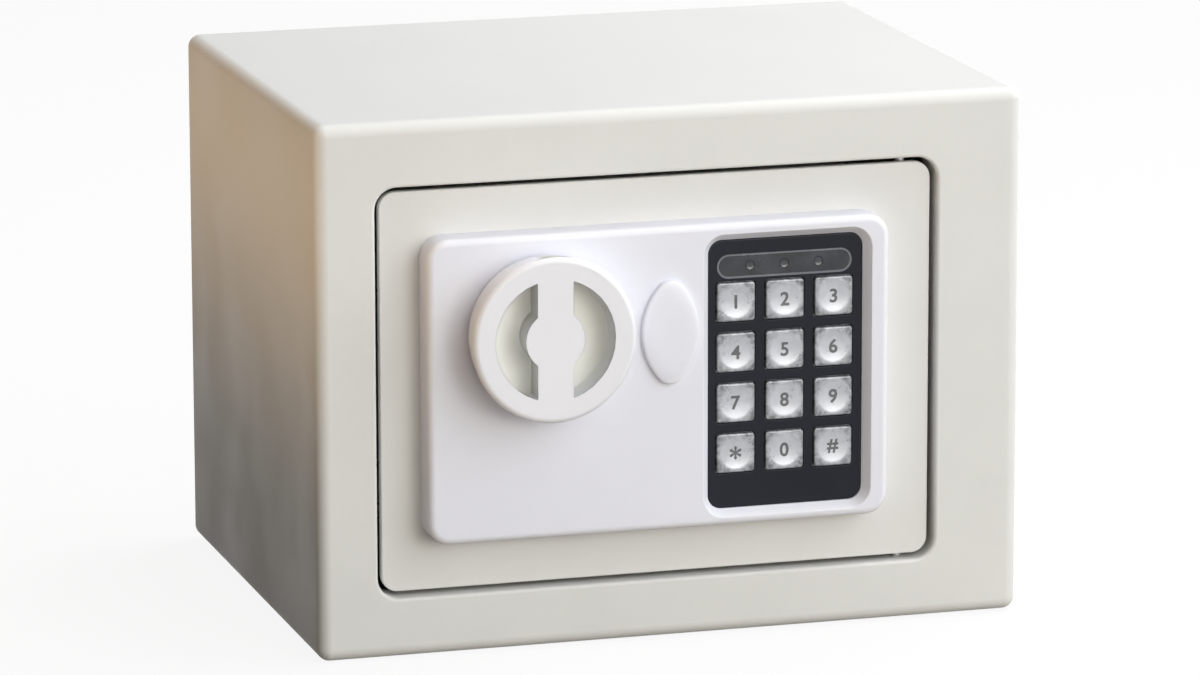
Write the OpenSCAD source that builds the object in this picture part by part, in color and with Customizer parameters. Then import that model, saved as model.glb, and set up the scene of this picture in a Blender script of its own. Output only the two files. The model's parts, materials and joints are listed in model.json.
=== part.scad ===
// Electronic safe deposit box: a folded steel body with a plate door on two pivot pins.
// The door carries a raised plastic panel with a keypad, a knob that throws two bolts,
// and an override lock behind an oval cover. Behind it lie the bolt work and the cells.
// X runs to the right, Y to the back and Z up. The origin is the middle of the base.

/* [Body] */
// Width of the body across its folded sides
body_w = 230; // [226:1:320]
// Height of the body
body_h = 170; // [168:1:260]
// Depth of the body from its front face to its back edge
body_d = 170; // [150:1:320]
// Thickness of the sheet steel
sheet_t = 1.5; // [1:0.1:2]
// Outside radius of the folded edges
fold_r = 4; // [3:0.5:7]
// Depth of the front frame's folded skirt
skirt_d = 15; // [12:1:30]
// How far the back panel is set in
back_inset = 1; // [0.5:0.5:4]

/* [Door opening] */
// Frame width on the lock side
flange_lock = 19; // [17:0.5:30]
// Frame width on the hinge side
flange_hinge = 28; // [20:0.5:29]
// Frame width above the door
flange_top = 20.5; // [16:0.5:21]
// Frame width below the door
flange_base = 19; // [16:0.5:20]
// Corner radius of the opening
opening_r = 7; // [4:0.5:10]
// Depth of the return round the opening
jamb_d = 12; // [11:0.5:14]
// Depth of the lock side's return, which the bolts enter
strike_d = 32; // [30:1:40]

/* [Door] */
// Gap between the door and the opening
door_gap = 1.8; // [1.6:0.1:2.4]
// How far the door's face lies behind the frame's face
door_recess = 2.5; // [1:0.1:3.5]
// Thickness of the door plate
door_t = 3; // [2.5:0.1:3.2]
// Hinge axis to the door's hinge-side edge
hinge_in = 8.6; // [8.2:0.1:10]
// Hinge axis behind the door's face
hinge_back = 5.1; // [5.1:0.1:5.4]
// Diameter of the hinge pins
hinge_pin_d = 4; // [3:0.1:4.2]
// Height of each hinge block on the door
hinge_block_h = 13; // [8:0.5:20]
// Height of each hinge bracket on the frame
hinge_bracket_h = 8; // [6:0.5:12]

/* [Front panel] */
// Width of the panel
panel_w = 150.1; // [149:0.1:151]
// Height of the panel
panel_h = 96.8; // [94:0.1:110]
// How far the panel stands off the door
panel_rise = 10; // [9:0.1:10.4]
// Door's lock-side edge to the panel
panel_side = 12.7; // [8:0.1:14]
// Door's lower edge to the panel
panel_base = 16.1; // [8:0.1:24]
// Corner radius of the panel
panel_r = 7; // [4:0.5:10]
// Radius of the panel's front edge
panel_edge_r = 2.5; // [1:0.1:3]
// Wall of the panel
panel_wall = 2; // [1.6:0.1:2.4]

/* [Keypad] */
// Panel's left edge to the keypad's middle
keypad_x = 116.7; // [115:0.1:118]
// Panel's lower edge to the keypad's middle
keypad_z = 47.9; // [47:0.1:49]
// Width of the bezel
bezel_w = 50.6; // [50:0.1:52]
// Height of the bezel
bezel_h = 86; // [84:0.5:86]
// Corner radius of the bezel
bezel_r = 4.5; // [2:0.5:6]
// Thickness of the bezel
bezel_t = 1.2; // [1:0.1:1.6]
// Depth of the well that the bezel lies in
well_depth = 3; // [2:0.1:3.2]
// Width of the well's sloped wall
well_slope = 2.1; // [1:0.1:2.4]
// Side of a square key
key_size = 12.4; // [10:0.1:13]
// Distance between the key columns
key_pitch_x = 16.05; // [15.5:0.05:16.4]
// Distance between the key rows
key_pitch_z = 16.17; // [15.6:0.01:16.5]
// Bezel's middle down to the middle of the key field
key_drop = 1.1; // [0:0.1:2]
// How far the keys stand off the bezel
key_rise = 0.8; // [0.3:0.1:1.5]
// Travel of a key
key_travel = 0.8; // [0.4:0.1:0.9]
// Width of the indicator window
window_w = 44.9; // [40:0.1:46]
// Height of the indicator window
window_h = 8.3; // [6:0.1:8.5]
// Bezel's middle up to the window's middle
window_up = 34.4; // [34:0.1:36]
// Diameter of an indicator lamp
lamp_d = 3; // [2:0.5:5]

/* [Knob] */
// Panel's left edge to the knob's axis
knob_x = 36.9; // [34:0.1:38]
// Panel's lower edge to the knob's axis
knob_z = 66.3; // [65:0.1:67]
// Diameter of the knob
knob_d = 52.5; // [48:0.5:56]
// How far the knob stands off the panel
knob_rise = 14.5; // [12:0.5:20]
// Diameter of the finger recess
grip_d = 40; // [34:0.5:42]
// Depth of the finger recess
grip_depth = 11; // [6:0.5:11.5]
// Width of the bar across the recess
bar_w = 10; // [6:0.5:12]
// Diameter of the round middle of the bar
hub_d = 17.5; // [12:0.5:20]
// Diameter of the spindle
spindle_d = 8; // [6:0.5:9]
// Radius at which the crank pin turns
crank_r = 8; // [6:0.5:8]
// Diameter of the crank pin
crank_pin_d = 4; // [3:0.5:4]

/* [Override lock] */
// Panel's left edge to the lock's axis
lock_x = 77.9; // [77:0.1:79]
// Panel's lower edge to the lock's axis
lock_z = 63.5; // [63:0.1:64]
// Width of the oval cover
oval_w = 18.8; // [18.4:0.1:20]
// Height of the oval cover
oval_h = 33; // [28:0.5:38]
// Radius of the oval cover's ends
oval_r = 5; // [3:0.5:7]
// Thickness of the oval cover
oval_t = 2.5; // [1.5:0.1:4]
// Diameter of the lock housing
lock_d = 16; // [14:0.5:16]
// Diameter of the turning core
core_d = 10; // [8:0.5:11]
// Length of the release arm
arm_len = 19; // [17:0.5:19.5]
// Width of the release arm
arm_w = 6; // [4:0.5:6]

/* [Bolt work] */
// Diameter of a locking bolt
bolt_d = 14; // [10:0.5:15]
// Distance between the two bolts
bolt_pitch = 68; // [60:1:70]
// Panel's lower edge to the line midway between the bolts
bolt_mid_z = 49.1; // [47:0.1:50]
// Bolt tips behind the door's lock-side edge when withdrawn
bolt_setback = 1.2; // [1:0.1:4]
// Door's back face to the bolts' axis
bolt_back = 14; // [13:0.5:15]
// Thickness of the carriage plate
carriage_t = 2; // [1.5:0.1:2.5]
// Panel's left edge to the carriage's folded edge
carriage_x = 19.5; // [18:0.1:20]
// Width of the carriage plate
carriage_w = 24.5; // [24:0.1:26]
// Height of the carriage plate
carriage_h = 88; // [84:1:90]
// Neck diameter of a guide stud
stud_d = 6; // [4:0.5:6]
// Diameter of the solenoid's plunger
plunger_d = 6; // [4:0.5:6]
// Travel of the plunger
plunger_travel = 4.5; // [3:0.1:4.5]

/* [Inner cover] */
// Depth of the inner cover
cover_d = 38; // [37:0.5:46]
// Wall of the inner cover
cover_wall = 1.2; // [1:0.1:1.5]
// Panel's left edge to the inner cover, to the left
cover_side = 2; // [1:0.1:2.4]
// Width of the inner cover
cover_w = 149.5; // [147:0.5:151]
// Height of the inner cover
cover_h = 117; // [115:0.5:119]
// Diameter of a cell
cell_d = 14.2; // [13.5:0.1:14.3]
// Length of a cell over its nub
cell_len = 50.5; // [49:0.1:50.5]
// Diameter of the reset button
reset_d = 6; // [4:0.5:7]
// Travel of the reset button
reset_travel = 1.5; // [0.5:0.1:2]

/* [Fixings] */
// Diameter of an anchor hole
anchor_d = 10; // [8:0.5:12]
// Distance between two anchor holes
anchor_pitch = 110; // [80:1:140]
// Thickness of the felt mat
mat_t = 2; // [1:0.5:4]
// Gap round the felt mat
mat_gap = 3; // [1:0.5:8]

/* [Hidden] */
$fn = 64;

paint = [0.93, 0.93, 0.91];
plastic = [0.92, 0.92, 0.94];
dark = [0.15, 0.16, 0.19];
steel = [0.70, 0.70, 0.72];
zinc = [0.80, 0.78, 0.70];
silver = [0.80, 0.80, 0.81];

// clearances
eps = 0.1;       // how close two fixed pieces lie
slip = 0.3;      // between pieces that move past each other
running = 0.05;  // round a pin in its bore
over = 1;        // how far a cut runs past a face

// body and opening
front_y = -body_d / 2;
back_y = body_d / 2;
open_x0 = -body_w / 2 + flange_lock;
open_x1 = body_w / 2 - flange_hinge;
open_z0 = flange_base;
open_z1 = body_h - flange_top;

// door plate
door_x0 = open_x0 + door_gap;
door_x1 = open_x1 - door_gap;
door_z0 = open_z0 + door_gap;
door_z1 = open_z1 - door_gap;
door_y0 = front_y + door_recess;
door_y1 = door_y0 + door_t;
hinge_x = door_x1 - hinge_in;
hinge_y = door_y0 + hinge_back;
hinge_r = hinge_pin_d / 2;
block_w = 10;        // width of a hinge block
block_inset = 1.5;   // how deep a hinge block sits in the door plate
block_d = 7;         // depth of a hinge block
block_set = 1;       // hinge block below the door's edge
bracket_w = 15;      // width of a hinge bracket
bracket_wrap = 4;    // bracket behind its pin
pin_seat = 1.5;      // bracket beyond the end of its pin

// front panel, from its lower left corner
panel_x0 = door_x0 + panel_side;
panel_z0 = door_z0 + panel_base;
panel_y0 = door_y0 - panel_rise;
well_wall = 2.5;     // wall round the keypad's well
boss_r = 3.5;
screw_r = 1.5;
head_r = 3;
head_t = 2;
boss_x = [8.5, 82];
boss_z = [9, panel_h - 8.5];

// keypad
pad_x = panel_x0 + keypad_x;
pad_z = panel_z0 + keypad_z;
bezel_y0 = panel_y0 + well_depth;
bezel_y1 = bezel_y0 + bezel_t;
field_dx = -0.3;     // key field beside the bezel's middle
rim_w = 1.7;         // flange behind the bezel
rim_t = 1;
key_flange = 0.5;    // ledge that holds a key behind the bezel
key_flange_t = 0.6;
dish_r = 30;         // round dish in the face of a key
dish_depth = 0.45;
key_y0 = bezel_y0 - key_rise;
flange_y0 = bezel_y1 + 0.2;
membrane_y0 = flange_y0 + key_flange_t + key_travel + eps;
membrane_t = 1;
board_y0 = membrane_y0 + membrane_t + eps;
board_t = 1.6;
board_post_r = 1.4;
board_screw_r = 0.85;
chip_t = 0.9;
chip_w = 12;         // control chip
chip_h = 8;
chip_up = 14;        // control chip above the keypad's middle
socket_w = 8;        // the leads' socket
socket_h = 4;
lamp_pitch = 11.2;
window_lap = 1;      // how far the window reaches behind the bezel at its ends
window_ear_t = 0.6;
rail = 6;            // width of the bezel's solid rim
KEYS = ["1", "2", "3", "4", "5", "6", "7", "8", "9", "star", "0", "hash"];

// knob and crank
axis_x = panel_x0 + knob_x;
axis_z = panel_z0 + knob_z;
knob_y0 = panel_y0 - knob_rise;
shank_d = 20;        // knob's boss through the panel
knob_edge = 1.8;     // radius of the knob's front edge
knob_roof = 4;       // knob in front of its spindle
clip_t = 0.7;
clip_w = 2.5;        // clip beyond the spindle
clip_groove = 0.8;
clip_y0 = door_y0 - clip_t - 0.45;
crank_y0 = door_y1 + 0.4;
crank_t = 2.2;
crank_disc_r = crank_r + crank_pin_d / 2 + 1;
pin_x = axis_x + crank_r / sqrt(2);
pin_z = axis_z + crank_r / sqrt(2);
throw = crank_r * sqrt(2);

// bolt work
carriage_x0 = panel_x0 + carriage_x;
carriage_x1 = carriage_x0 + carriage_w;
carriage_y0 = door_y1 + 3;
carriage_y1 = carriage_y0 + carriage_t;
bolt_y = door_y1 + bolt_back;
bolt_z = panel_z0 + bolt_mid_z;
bolt_tip = door_x0 + bolt_setback;
bolt_nose = 1.2;     // chamfer of a bolt's tip
fold_y1 = bolt_y + bolt_d / 2 + 2;
carriage_z0 = bolt_z - carriage_h / 2;
carriage_z1 = bolt_z + carriage_h / 2;
guide_x0 = door_x0 + 2.2;
guide_x1 = panel_x0 - cover_side - 0.5;
guide_t = 2;
guide_z0 = carriage_z0 - 2;
guide_z1 = carriage_z1 + 2;
stud_x = carriage_x0 + carriage_t + stud_d;
stud_z = [carriage_z0 + 22, carriage_z1 - 6];
stud_head_r = stud_d / 2 + 2;
stud_head_t = 2;
bolt_screw_r = 2;
bolt_screw_len = 12;

// override lock
key_x = panel_x0 + lock_x;
key_z = panel_z0 + lock_z;
lock_y0 = panel_y0 + panel_wall + 0.5;
lock_y1 = door_y1 + 8.5;
lock_lip = 2;        // flange of the housing in front of the door
key_slot_w = 1.6;
key_slot_h = 0.76 * core_d;
key_slot_d = 18;
arm_y0 = lock_y1 + 3 * slip;
arm_t = 2;
arm_stem_r = 3;      // threaded end of the core, which carries the arm
arm_hub_r = arm_stem_r + 2;
arm_nut_t = 2.4;
lock_nut_af = lock_d + 4;
lock_nut_t = 3;
port_r = lock_d / 2 + 0.5;         // hole in the panel behind the oval cover
oval_step = 0.6;     // step round the oval cover's front edge
plug_wall = 1.5;     // wall of the plug that holds the cover in its hole

// solenoid and plunger
collar_t = 1;
collar_r = plunger_d / 2 + 2;
plunger_x = axis_x + crank_disc_r + collar_r + 2;
plunger_y = door_y1 + 9;
plunger_tip = axis_z + 2.1;
tab_z0 = plunger_tip + 2 * slip;
tab_h = plunger_travel + 1.5;
tab_x0 = plunger_x + plunger_d / 2 + slip;
tab_y1 = arm_y0 - 2 * slip;
collar_top = key_z - arm_w / 2 - 2 * slip;
spring_len = 5.8;    // pressed spring, between the collar and the solenoid
coil_top = collar_top - collar_t - spring_len;
solenoid_h = 26;
coil_mid = coil_top - solenoid_h / 2;
solenoid_w = 20;
solenoid_d = 15.5;
solenoid_foot = 7;   // foot below the solenoid
bracket_t = 1.5;
spring_wire = 0.6;

// inner cover
cover_x0 = panel_x0 - cover_side;
cover_x1 = cover_x0 + cover_w;
cover_z0 = bolt_z - cover_h / 2 - 0.5;
cover_z1 = cover_z0 + cover_h;
cover_y1 = door_y1 + cover_d;
post_r = 3;
cover_screw_len = 7; // screw inside its post
post_x0 = cover_x0 + cover_wall + 6;
post_x1 = cover_x1 - cover_wall - 6;
post_z0 = cover_z0 + cover_wall + 4.3;
post_z1 = cover_z1 - cover_wall - 4.3;

// battery tray
tray_wall = 1.5;
lid_t = 1.6;
lid_lap = 2.5;
lid_rib = 1.2;       // rib that snaps into the cover's opening
cell_pitch = cell_d + 0.3;
cell_gap = 0.3;
contact_t = 0.5;
contact_w = cell_d - 3.2;
nub_r = 2.75;
nub_h = 1.5;
contact_spring = 5.5;
tray_w = 4 * cell_pitch + 2 * tray_wall;
tray_h = cell_len + contact_spring + 2 * contact_t + 2 * tray_wall;
tray_x1 = cover_x1 - cover_wall - 1.3;
tray_x0 = tray_x1 - tray_w;
tray_z0 = post_z0 + head_r + 2 * slip + lid_lap - tray_wall;
tray_y1 = cover_y1 - cover_wall;
tray_y0 = tray_y1 - cell_d - tray_wall - 2;
cell_y = tray_y0 + tray_wall + cell_gap + cell_d / 2;

// reset button
reset_x = cover_x1 - 14;
reset_z = cover_z1 - 23;
reset_box = reset_d + 6;
reset_stem = 3.5;    // button inside its switch
reset_lip = 1.2;     // flange that keeps the button in

// wires: points chosen by hand, from the wire hole in the door plate
lead_d = 1.6;
wire_hole_d = 10;
wire_x = pad_x - bezel_w / 2 + 11.3;
wire_z = pad_z - bezel_h / 2 + 3;

// rounded rectangle about the origin
module rounded(w, h, r) {
    square([w - 2 * r, h], center = true);
    square([w, h - 2 * r], center = true);
    for (x = [-1, 1], z = [-1, 1])
        translate([x * (w / 2 - r), z * (h / 2 - r)]) circle(r);
}

// slot about the origin, with round ends on its longer side
module slot(w, h) {
    r = min(w, h) / 2;
    square(w > h ? [w - 2 * r, h] : [w, h - 2 * r], center = true);
    for (s = [-1, 1]) translate(s * (w > h ? [w / 2 - r, 0] : [0, h / 2 - r])) circle(r);
}

// raises a shape drawn in X and Z along Y
module along_y(y0, y1) {
    translate([0, y1, 0]) rotate([90, 0, 0]) linear_extrude(y1 - y0) children();
}

// upright plate with round corners
module plate(x0, x1, z0, z1, y0, y1, r) {
    along_y(y0, y1) translate([(x0 + x1) / 2, (z0 + z1) / 2]) rounded(x1 - x0, z1 - z0, r);
}

module slot_hole(x0, x1, z0, z1, y0, y1) {
    along_y(y0, y1) translate([(x0 + x1) / 2, (z0 + z1) / 2]) slot(x1 - x0, z1 - z0);
}

module block(x0, x1, y0, y1, z0, z1) {
    translate([x0, y0, z0]) cube([x1 - x0, y1 - y0, z1 - z0]);
}

module rod_y(x, z, r, y0, y1) {
    translate([x, y1, z]) rotate([90, 0, 0]) cylinder(r = r, h = y1 - y0);
}

module rod_z(x, y, r, z0, z1) {
    translate([x, y, z0]) cylinder(r = r, h = z1 - z0);
}

module rod_x(y, z, r, x0, x1) {
    translate([x0, y, z]) rotate([0, 90, 0]) cylinder(r = r, h = x1 - x0);
}

// side view of a pan whose front edge is rounded
module rounded_front(w, r, y0, y1) {
    translate([-w / 2 + r, y0]) square([w - 2 * r, y1 - y0]);
    translate([-w / 2, y0 + r]) square([w, y1 - y0 - r]);
    for (x = [-1, 1]) translate([x * (w / 2 - r), y0 + r]) circle(r);
}

// block as large as the body, less inset all round, with its front edges and corners rounded
module pan(inset, y0, y1) {
    w = body_w - 2 * inset;
    h = body_h - 2 * inset;
    r = fold_r - inset;
    intersection() {
        plate(-w / 2, w / 2, inset, inset + h, y0, y1, r);
        translate([0, 0, -over]) linear_extrude(body_h + 2 * over) rounded_front(w, r, y0, y1);
        translate([-body_w, 0, body_h / 2]) rotate([0, 90, 0])
            linear_extrude(2 * body_w) rounded_front(h, r, y0, y1);
    }
}

// pan-head screw pointing to the front, its head seated at y
module screw(x, z, y, r, length, cap_r, cap_t) {
    difference() {
        union() {
            rod_y(x, z, r, y - length, y + cap_t / 2);
            rod_y(x, z, cap_r, y, y + cap_t);
        }
        slot = cap_r * 0.3;
        block(x - slot / 2, x + slot / 2, y + cap_t / 2, y + cap_t + over, z - cap_r / 2, z + cap_r / 2);
        block(x - cap_r / 2, x + cap_r / 2, y + cap_t / 2, y + cap_t + over, z - slot / 2, z + slot / 2);
    }
}

// triangles of a tube of rings, each ring having the same number of points
function tube_faces(rings, sides) = concat(
    [for (i = [0 : rings - 2], j = [0 : sides - 1])
        [i * sides + j, (i + 1) * sides + j, (i + 1) * sides + (j + 1) % sides]],
    [for (i = [0 : rings - 2], j = [0 : sides - 1])
        [i * sides + j, (i + 1) * sides + (j + 1) % sides, i * sides + (j + 1) % sides]],
    [for (j = [1 : sides - 2]) [0, j, j + 1]],
    [for (j = [1 : sides - 2]) (rings - 1) * sides * [1, 1, 1] + [0, j + 1, j]]);

// coil spring that stands on the origin: radius r to the wire's middle
module coil(r, wire, turns, height) {
    sides = 6;
    rings = 8 * turns + 1;
    rise = height - wire;
    points = [for (i = [0 : rings - 1], j = [0 : sides - 1])
        let (a = 45 * i, b = -60 * j, q = r + wire / 2 * cos(b))
        [q * cos(a), q * sin(a), wire / 2 + rise * i / (rings - 1) + wire / 2 * sin(b)]];
    polyhedron(points = points, faces = tube_faces(rings, sides));
}

// smooth curve through the points of a route
function along(p, i, t) =
    let (n = len(p) - 1, a = p[max(i - 1, 0)], b = p[i], c = p[min(i + 1, n)], d = p[min(i + 2, n)])
    0.5 * (2 * b + (c - a) * t + (2 * a - 5 * b + 4 * c - d) * t * t
        + (3 * b - a - 3 * c + d) * t * t * t);
function route(p, steps) = concat(
    [for (i = [0 : len(p) - 2], k = [0 : steps - 1]) along(p, i, k / steps)], [p[len(p) - 1]]);
function unit(v) = v / norm(v);

// round wire along a route; the route never runs along the reference direction
module wire(points, d) {
    sides = 8;
    path = route(points, 3);
    n = len(path);
    reference = [1, 0.35, 0.2];
    rings = [for (i = [0 : n - 1])
        let (t = unit(path[min(i + 1, n - 1)] - path[max(i - 1, 0)]),
            u = unit(cross(t, reference)), v = cross(t, u))
        for (j = [0 : sides - 1])
            path[i] + d / 2 * (cos(360 * j / sides) * u + sin(360 * j / sides) * v)];
    polyhedron(points = rings, faces = tube_faces(n, sides));
}

// ---- body ----

module anchor_row_z(z0, z1, r) {
    for (x = [-1, 1]) rod_z(x * anchor_pitch / 2, 0, r, z0, z1);
}

module body_wrap() color(paint) difference() {
    plate(-body_w / 2, body_w / 2, 0, body_h, front_y + skirt_d, back_y, fold_r);
    plate(-body_w / 2 + sheet_t, body_w / 2 - sheet_t, sheet_t, body_h - sheet_t,
        front_y + skirt_d - over, back_y + over, fold_r - sheet_t);
    anchor_row_z(-over, sheet_t + over, anchor_d / 2);
}

module front_frame() color(paint) difference() {
    union() {
        difference() {
            pan(0, front_y, front_y + skirt_d);
            pan(sheet_t, front_y + sheet_t, front_y + skirt_d + over);
        }
        plate(open_x0 - sheet_t, open_x1 + sheet_t, open_z0 - sheet_t, open_z1 + sheet_t,
            front_y, front_y + jamb_d, opening_r + sheet_t);
        block(open_x0 - sheet_t, open_x0, front_y + jamb_d - over, front_y + strike_d,
            bolt_z - bolt_pitch / 2 - bolt_d, bolt_z + bolt_pitch / 2 + bolt_d);
    }
    plate(open_x0, open_x1, open_z0, open_z1, front_y - over, front_y + jamb_d + over, opening_r);
    for (s = [-1, 1])
        rod_x(bolt_y, bolt_z + s * bolt_pitch / 2, bolt_d / 2 + 0.8,
            open_x0 - sheet_t - over, open_x0 + over);
    rod_z(hinge_x, hinge_y, hinge_r + slip, open_z0 - sheet_t - over, open_z0 + over);
    rod_z(hinge_x, hinge_y, hinge_r + slip, open_z1 - over, open_z1 + sheet_t + over);
}

module back_panel() color(paint) difference() {
    side = body_w / 2 - sheet_t - eps;
    plate(-side, side, sheet_t + eps, body_h - sheet_t - eps,
        back_y - back_inset - sheet_t, back_y - back_inset, fold_r - sheet_t);
    for (x = [-1, 1]) rod_y(x * anchor_pitch / 2, body_h / 2, anchor_d / 2,
        back_y - back_inset - sheet_t - over, back_y);
}

module hinge_bracket(z0, z1) difference() {
    block(hinge_x - bracket_w / 2, hinge_x + bracket_w / 2,
        front_y + sheet_t + eps, hinge_y + hinge_r + bracket_wrap, z0, z1);
    rod_z(hinge_x, hinge_y, hinge_r + running, z0 - over, z1 + over);
}

module hinge_brackets() color(steel) {
    hinge_bracket(open_z0 - sheet_t - hinge_bracket_h, open_z0 - sheet_t);
    hinge_bracket(open_z1 + sheet_t, open_z1 + sheet_t + hinge_bracket_h);
}

module floor_mat() color([0.25, 0.26, 0.28]) difference() {
    block(-body_w / 2 + sheet_t + mat_gap, body_w / 2 - sheet_t - mat_gap,
        front_y + jamb_d + mat_gap, back_y - back_inset - sheet_t - mat_gap, sheet_t, sheet_t + mat_t);
    anchor_row_z(sheet_t - over, sheet_t + mat_t + over, anchor_d / 2 + mat_gap / 2);
}

// ---- door ----

module at_bosses() {
    for (x = boss_x, z = boss_z) translate([panel_x0 + x, 0, panel_z0 + z]) children();
}

module door_plate() color(paint) difference() {
    plate(door_x0, door_x1, door_z0, door_z1, door_y0, door_y1, opening_r - door_gap);
    rod_y(axis_x, axis_z, spindle_d / 2 + running, door_y0 - over, door_y1 + over);
    rod_y(key_x, key_z, lock_d / 2 + eps, door_y0 - over, door_y1 + over);
    rod_y(wire_x, wire_z, wire_hole_d / 2, door_y0 - over, door_y1 + over);
    at_bosses() rod_y(0, 0, screw_r + slip, door_y0 - over, door_y1 + over);
    for (z = [door_z0 + block_set, door_z1 - block_set - hinge_block_h])
        block(hinge_x - block_w / 2 - eps, hinge_x + block_w / 2 + eps,
            door_y1 - block_inset - eps, door_y1 + over, z - eps, z + hinge_block_h + eps);
}

module hinge_block(z0) difference() {
    block(hinge_x - block_w / 2, hinge_x + block_w / 2,
        door_y1 - block_inset, door_y1 - block_inset + block_d, z0, z0 + hinge_block_h);
    rod_z(hinge_x, hinge_y, hinge_r + running, z0 - over, z0 + hinge_block_h + over);
}

module door_hinge_blocks() color(steel) {
    hinge_block(door_z0 + block_set);
    hinge_block(door_z1 - block_set - hinge_block_h);
}

module hinge_pins() color(steel) {
    reach = hinge_bracket_h + sheet_t - pin_seat;
    rod_z(hinge_x, hinge_y, hinge_r, open_z0 - reach, door_z0 + block_set + hinge_block_h);
    rod_z(hinge_x, hinge_y, hinge_r, door_z1 - block_set - hinge_block_h, open_z1 + reach);
}

module bolt_guide() color(zinc) difference() {
    union() {
        block(guide_x0, guide_x1, door_y1, door_y1 + guide_t, guide_z0, guide_z1);
        block(guide_x1 - guide_t, guide_x1, door_y1, fold_y1, guide_z0, guide_z1);
    }
    for (s = [-1, 1])
        rod_x(bolt_y, bolt_z + s * bolt_pitch / 2, bolt_d / 2 + 2 * running,
            guide_x1 - guide_t - over, guide_x1 + over);
}

module guide_studs() color(steel) for (z = stud_z) {
    rod_y(stud_x, z, stud_d / 2, door_y1, carriage_y1 + slip + stud_head_t / 2);
    rod_y(stud_x, z, stud_head_r, carriage_y1 + slip, carriage_y1 + slip + stud_head_t);
}

// ---- front panel ----

// corner of a moulding with a rounded front edge, drawn to be spun
module corner_profile(r, rise, edge) {
    square([r, rise - edge]);
    square([r - edge, rise]);
    translate([r - edge, rise - edge]) circle(edge, $fn = 32);
}

module moulding(w, h, r, rise, edge) {
    hull() for (x = [-1, 1], z = [-1, 1])
        translate([x * (w / 2 - r), z * (h / 2 - r), 0])
            rotate_extrude($fn = 32) intersection() {
                corner_profile(r, rise, edge);
                square([r, rise]);
            }
}

// sloped wall of the keypad's well, cut from the panel
module well() {
    w = bezel_w + 2 * eps;
    h = bezel_h + 2 * eps;
    hull() {
        plate(pad_x - w / 2, pad_x + w / 2, pad_z - h / 2, pad_z + h / 2,
            bezel_y0 - eps / 2, bezel_y0, bezel_r, $fn = 32);
        plate(pad_x - w / 2 - well_slope, pad_x + w / 2 + well_slope,
            pad_z - h / 2 - well_slope, pad_z + h / 2 + well_slope,
            panel_y0 - eps, panel_y0, bezel_r + well_slope, $fn = 32);
    }
    plate(pad_x - w / 2, pad_x + w / 2, pad_z - h / 2, pad_z + h / 2,
        panel_y0, bezel_y1 + over, bezel_r);
}

module front_panel() color(plastic) {
    cx = panel_x0 + panel_w / 2;
    cz = panel_z0 + panel_h / 2;
    collar_w = bezel_w / 2 + eps + well_wall;
    collar_h = bezel_h / 2 + eps + well_wall;
    difference() {
        union() {
            difference() {
                translate([cx, door_y0, cz]) rotate([90, 0, 0])
                    moulding(panel_w, panel_h, panel_r, panel_rise, panel_edge_r);
                plate(panel_x0 + panel_wall, panel_x0 + panel_w - panel_wall,
                    panel_z0 + panel_wall, panel_z0 + panel_h - panel_wall,
                    panel_y0 + panel_wall, door_y0 + over, panel_r - panel_wall);
            }
            plate(pad_x - collar_w, pad_x + collar_w, pad_z - collar_h, pad_z + collar_h,
                panel_y0 + panel_wall / 2, bezel_y1, bezel_r + panel_wall);
            at_bosses() rod_y(0, 0, boss_r, panel_y0 + panel_wall / 2, door_y0);
        }
        well();
        rod_y(axis_x, axis_z, shank_d / 2 + 2 * slip, panel_y0 - over, panel_y0 + panel_wall + over);
        rod_y(key_x, key_z, port_r, panel_y0 - over, panel_y0 + panel_wall + over);
        at_bosses() rod_y(0, 0, screw_r + running, panel_y0 + panel_wall, door_y0 + over);
    }
}

module panel_screws() color(steel) at_bosses()
    screw(0, 0, door_y1, screw_r, door_t + panel_rise - panel_wall - 1, head_r, head_t);

// ---- keypad ----

// middle of key number i, counted from the top left
function key_at(i) = [
    pad_x + field_dx + (i % 3 - 1) * key_pitch_x,
    pad_z - key_drop + (1.5 - floor(i / 3)) * key_pitch_z];

module at_board_corners() {
    for (x = [-1, 1], z = [-1, 1])
        translate([pad_x + x * (bezel_w / 2 - 1), 0, pad_z + z * (bezel_h / 2 - 3)]) children();
}

module window_shape(grow, y0, y1) {
    w = window_w + 2 * grow;
    h = window_h + 2 * grow;
    x = pad_x + field_dx;
    z = pad_z + window_up;
    slot_hole(x - w / 2, x + w / 2, z - h / 2, z + h / 2, y0, y1);
}

module keypad_bezel() color(dark) {
    rim_x = bezel_w / 2 + rim_w;
    rim_z = bezel_h / 2 + rim_w;
    field_x = max(key_pitch_x + key_size / 2 + key_flange, window_w / 2 + window_lap) + slip;
    difference() {
        union() {
            plate(pad_x - bezel_w / 2, pad_x + bezel_w / 2, pad_z - bezel_h / 2, pad_z + bezel_h / 2,
                bezel_y0, bezel_y1 + rim_t / 2, bezel_r);
            plate(pad_x - rim_x, pad_x + rim_x, pad_z - rim_z, pad_z + rim_z,
                bezel_y1, bezel_y1 + rim_t, bezel_r + rim_w);
            at_board_corners() rod_y(0, 0, board_post_r, bezel_y1 + rim_t / 2, board_y0);
        }
        block(pad_x + field_dx - field_x, pad_x + field_dx + field_x, bezel_y1, board_y0 + over,
            pad_z - rim_z + rail, pad_z + window_up + window_h / 2 + slip);
        for (i = [0 : 11]) translate([key_at(i)[0], 0, key_at(i)[1]]) {
            hole = key_size + 2 * slip;
            plate(-hole / 2, hole / 2, -hole / 2, hole / 2, bezel_y0 - over, bezel_y1 + over, 1.2);
        }
        window_shape(eps, bezel_y0 - over, bezel_y1 + over);
        at_board_corners() rod_y(0, 0, board_screw_r + running, bezel_y1, board_y0 + over);
    }
}

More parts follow.
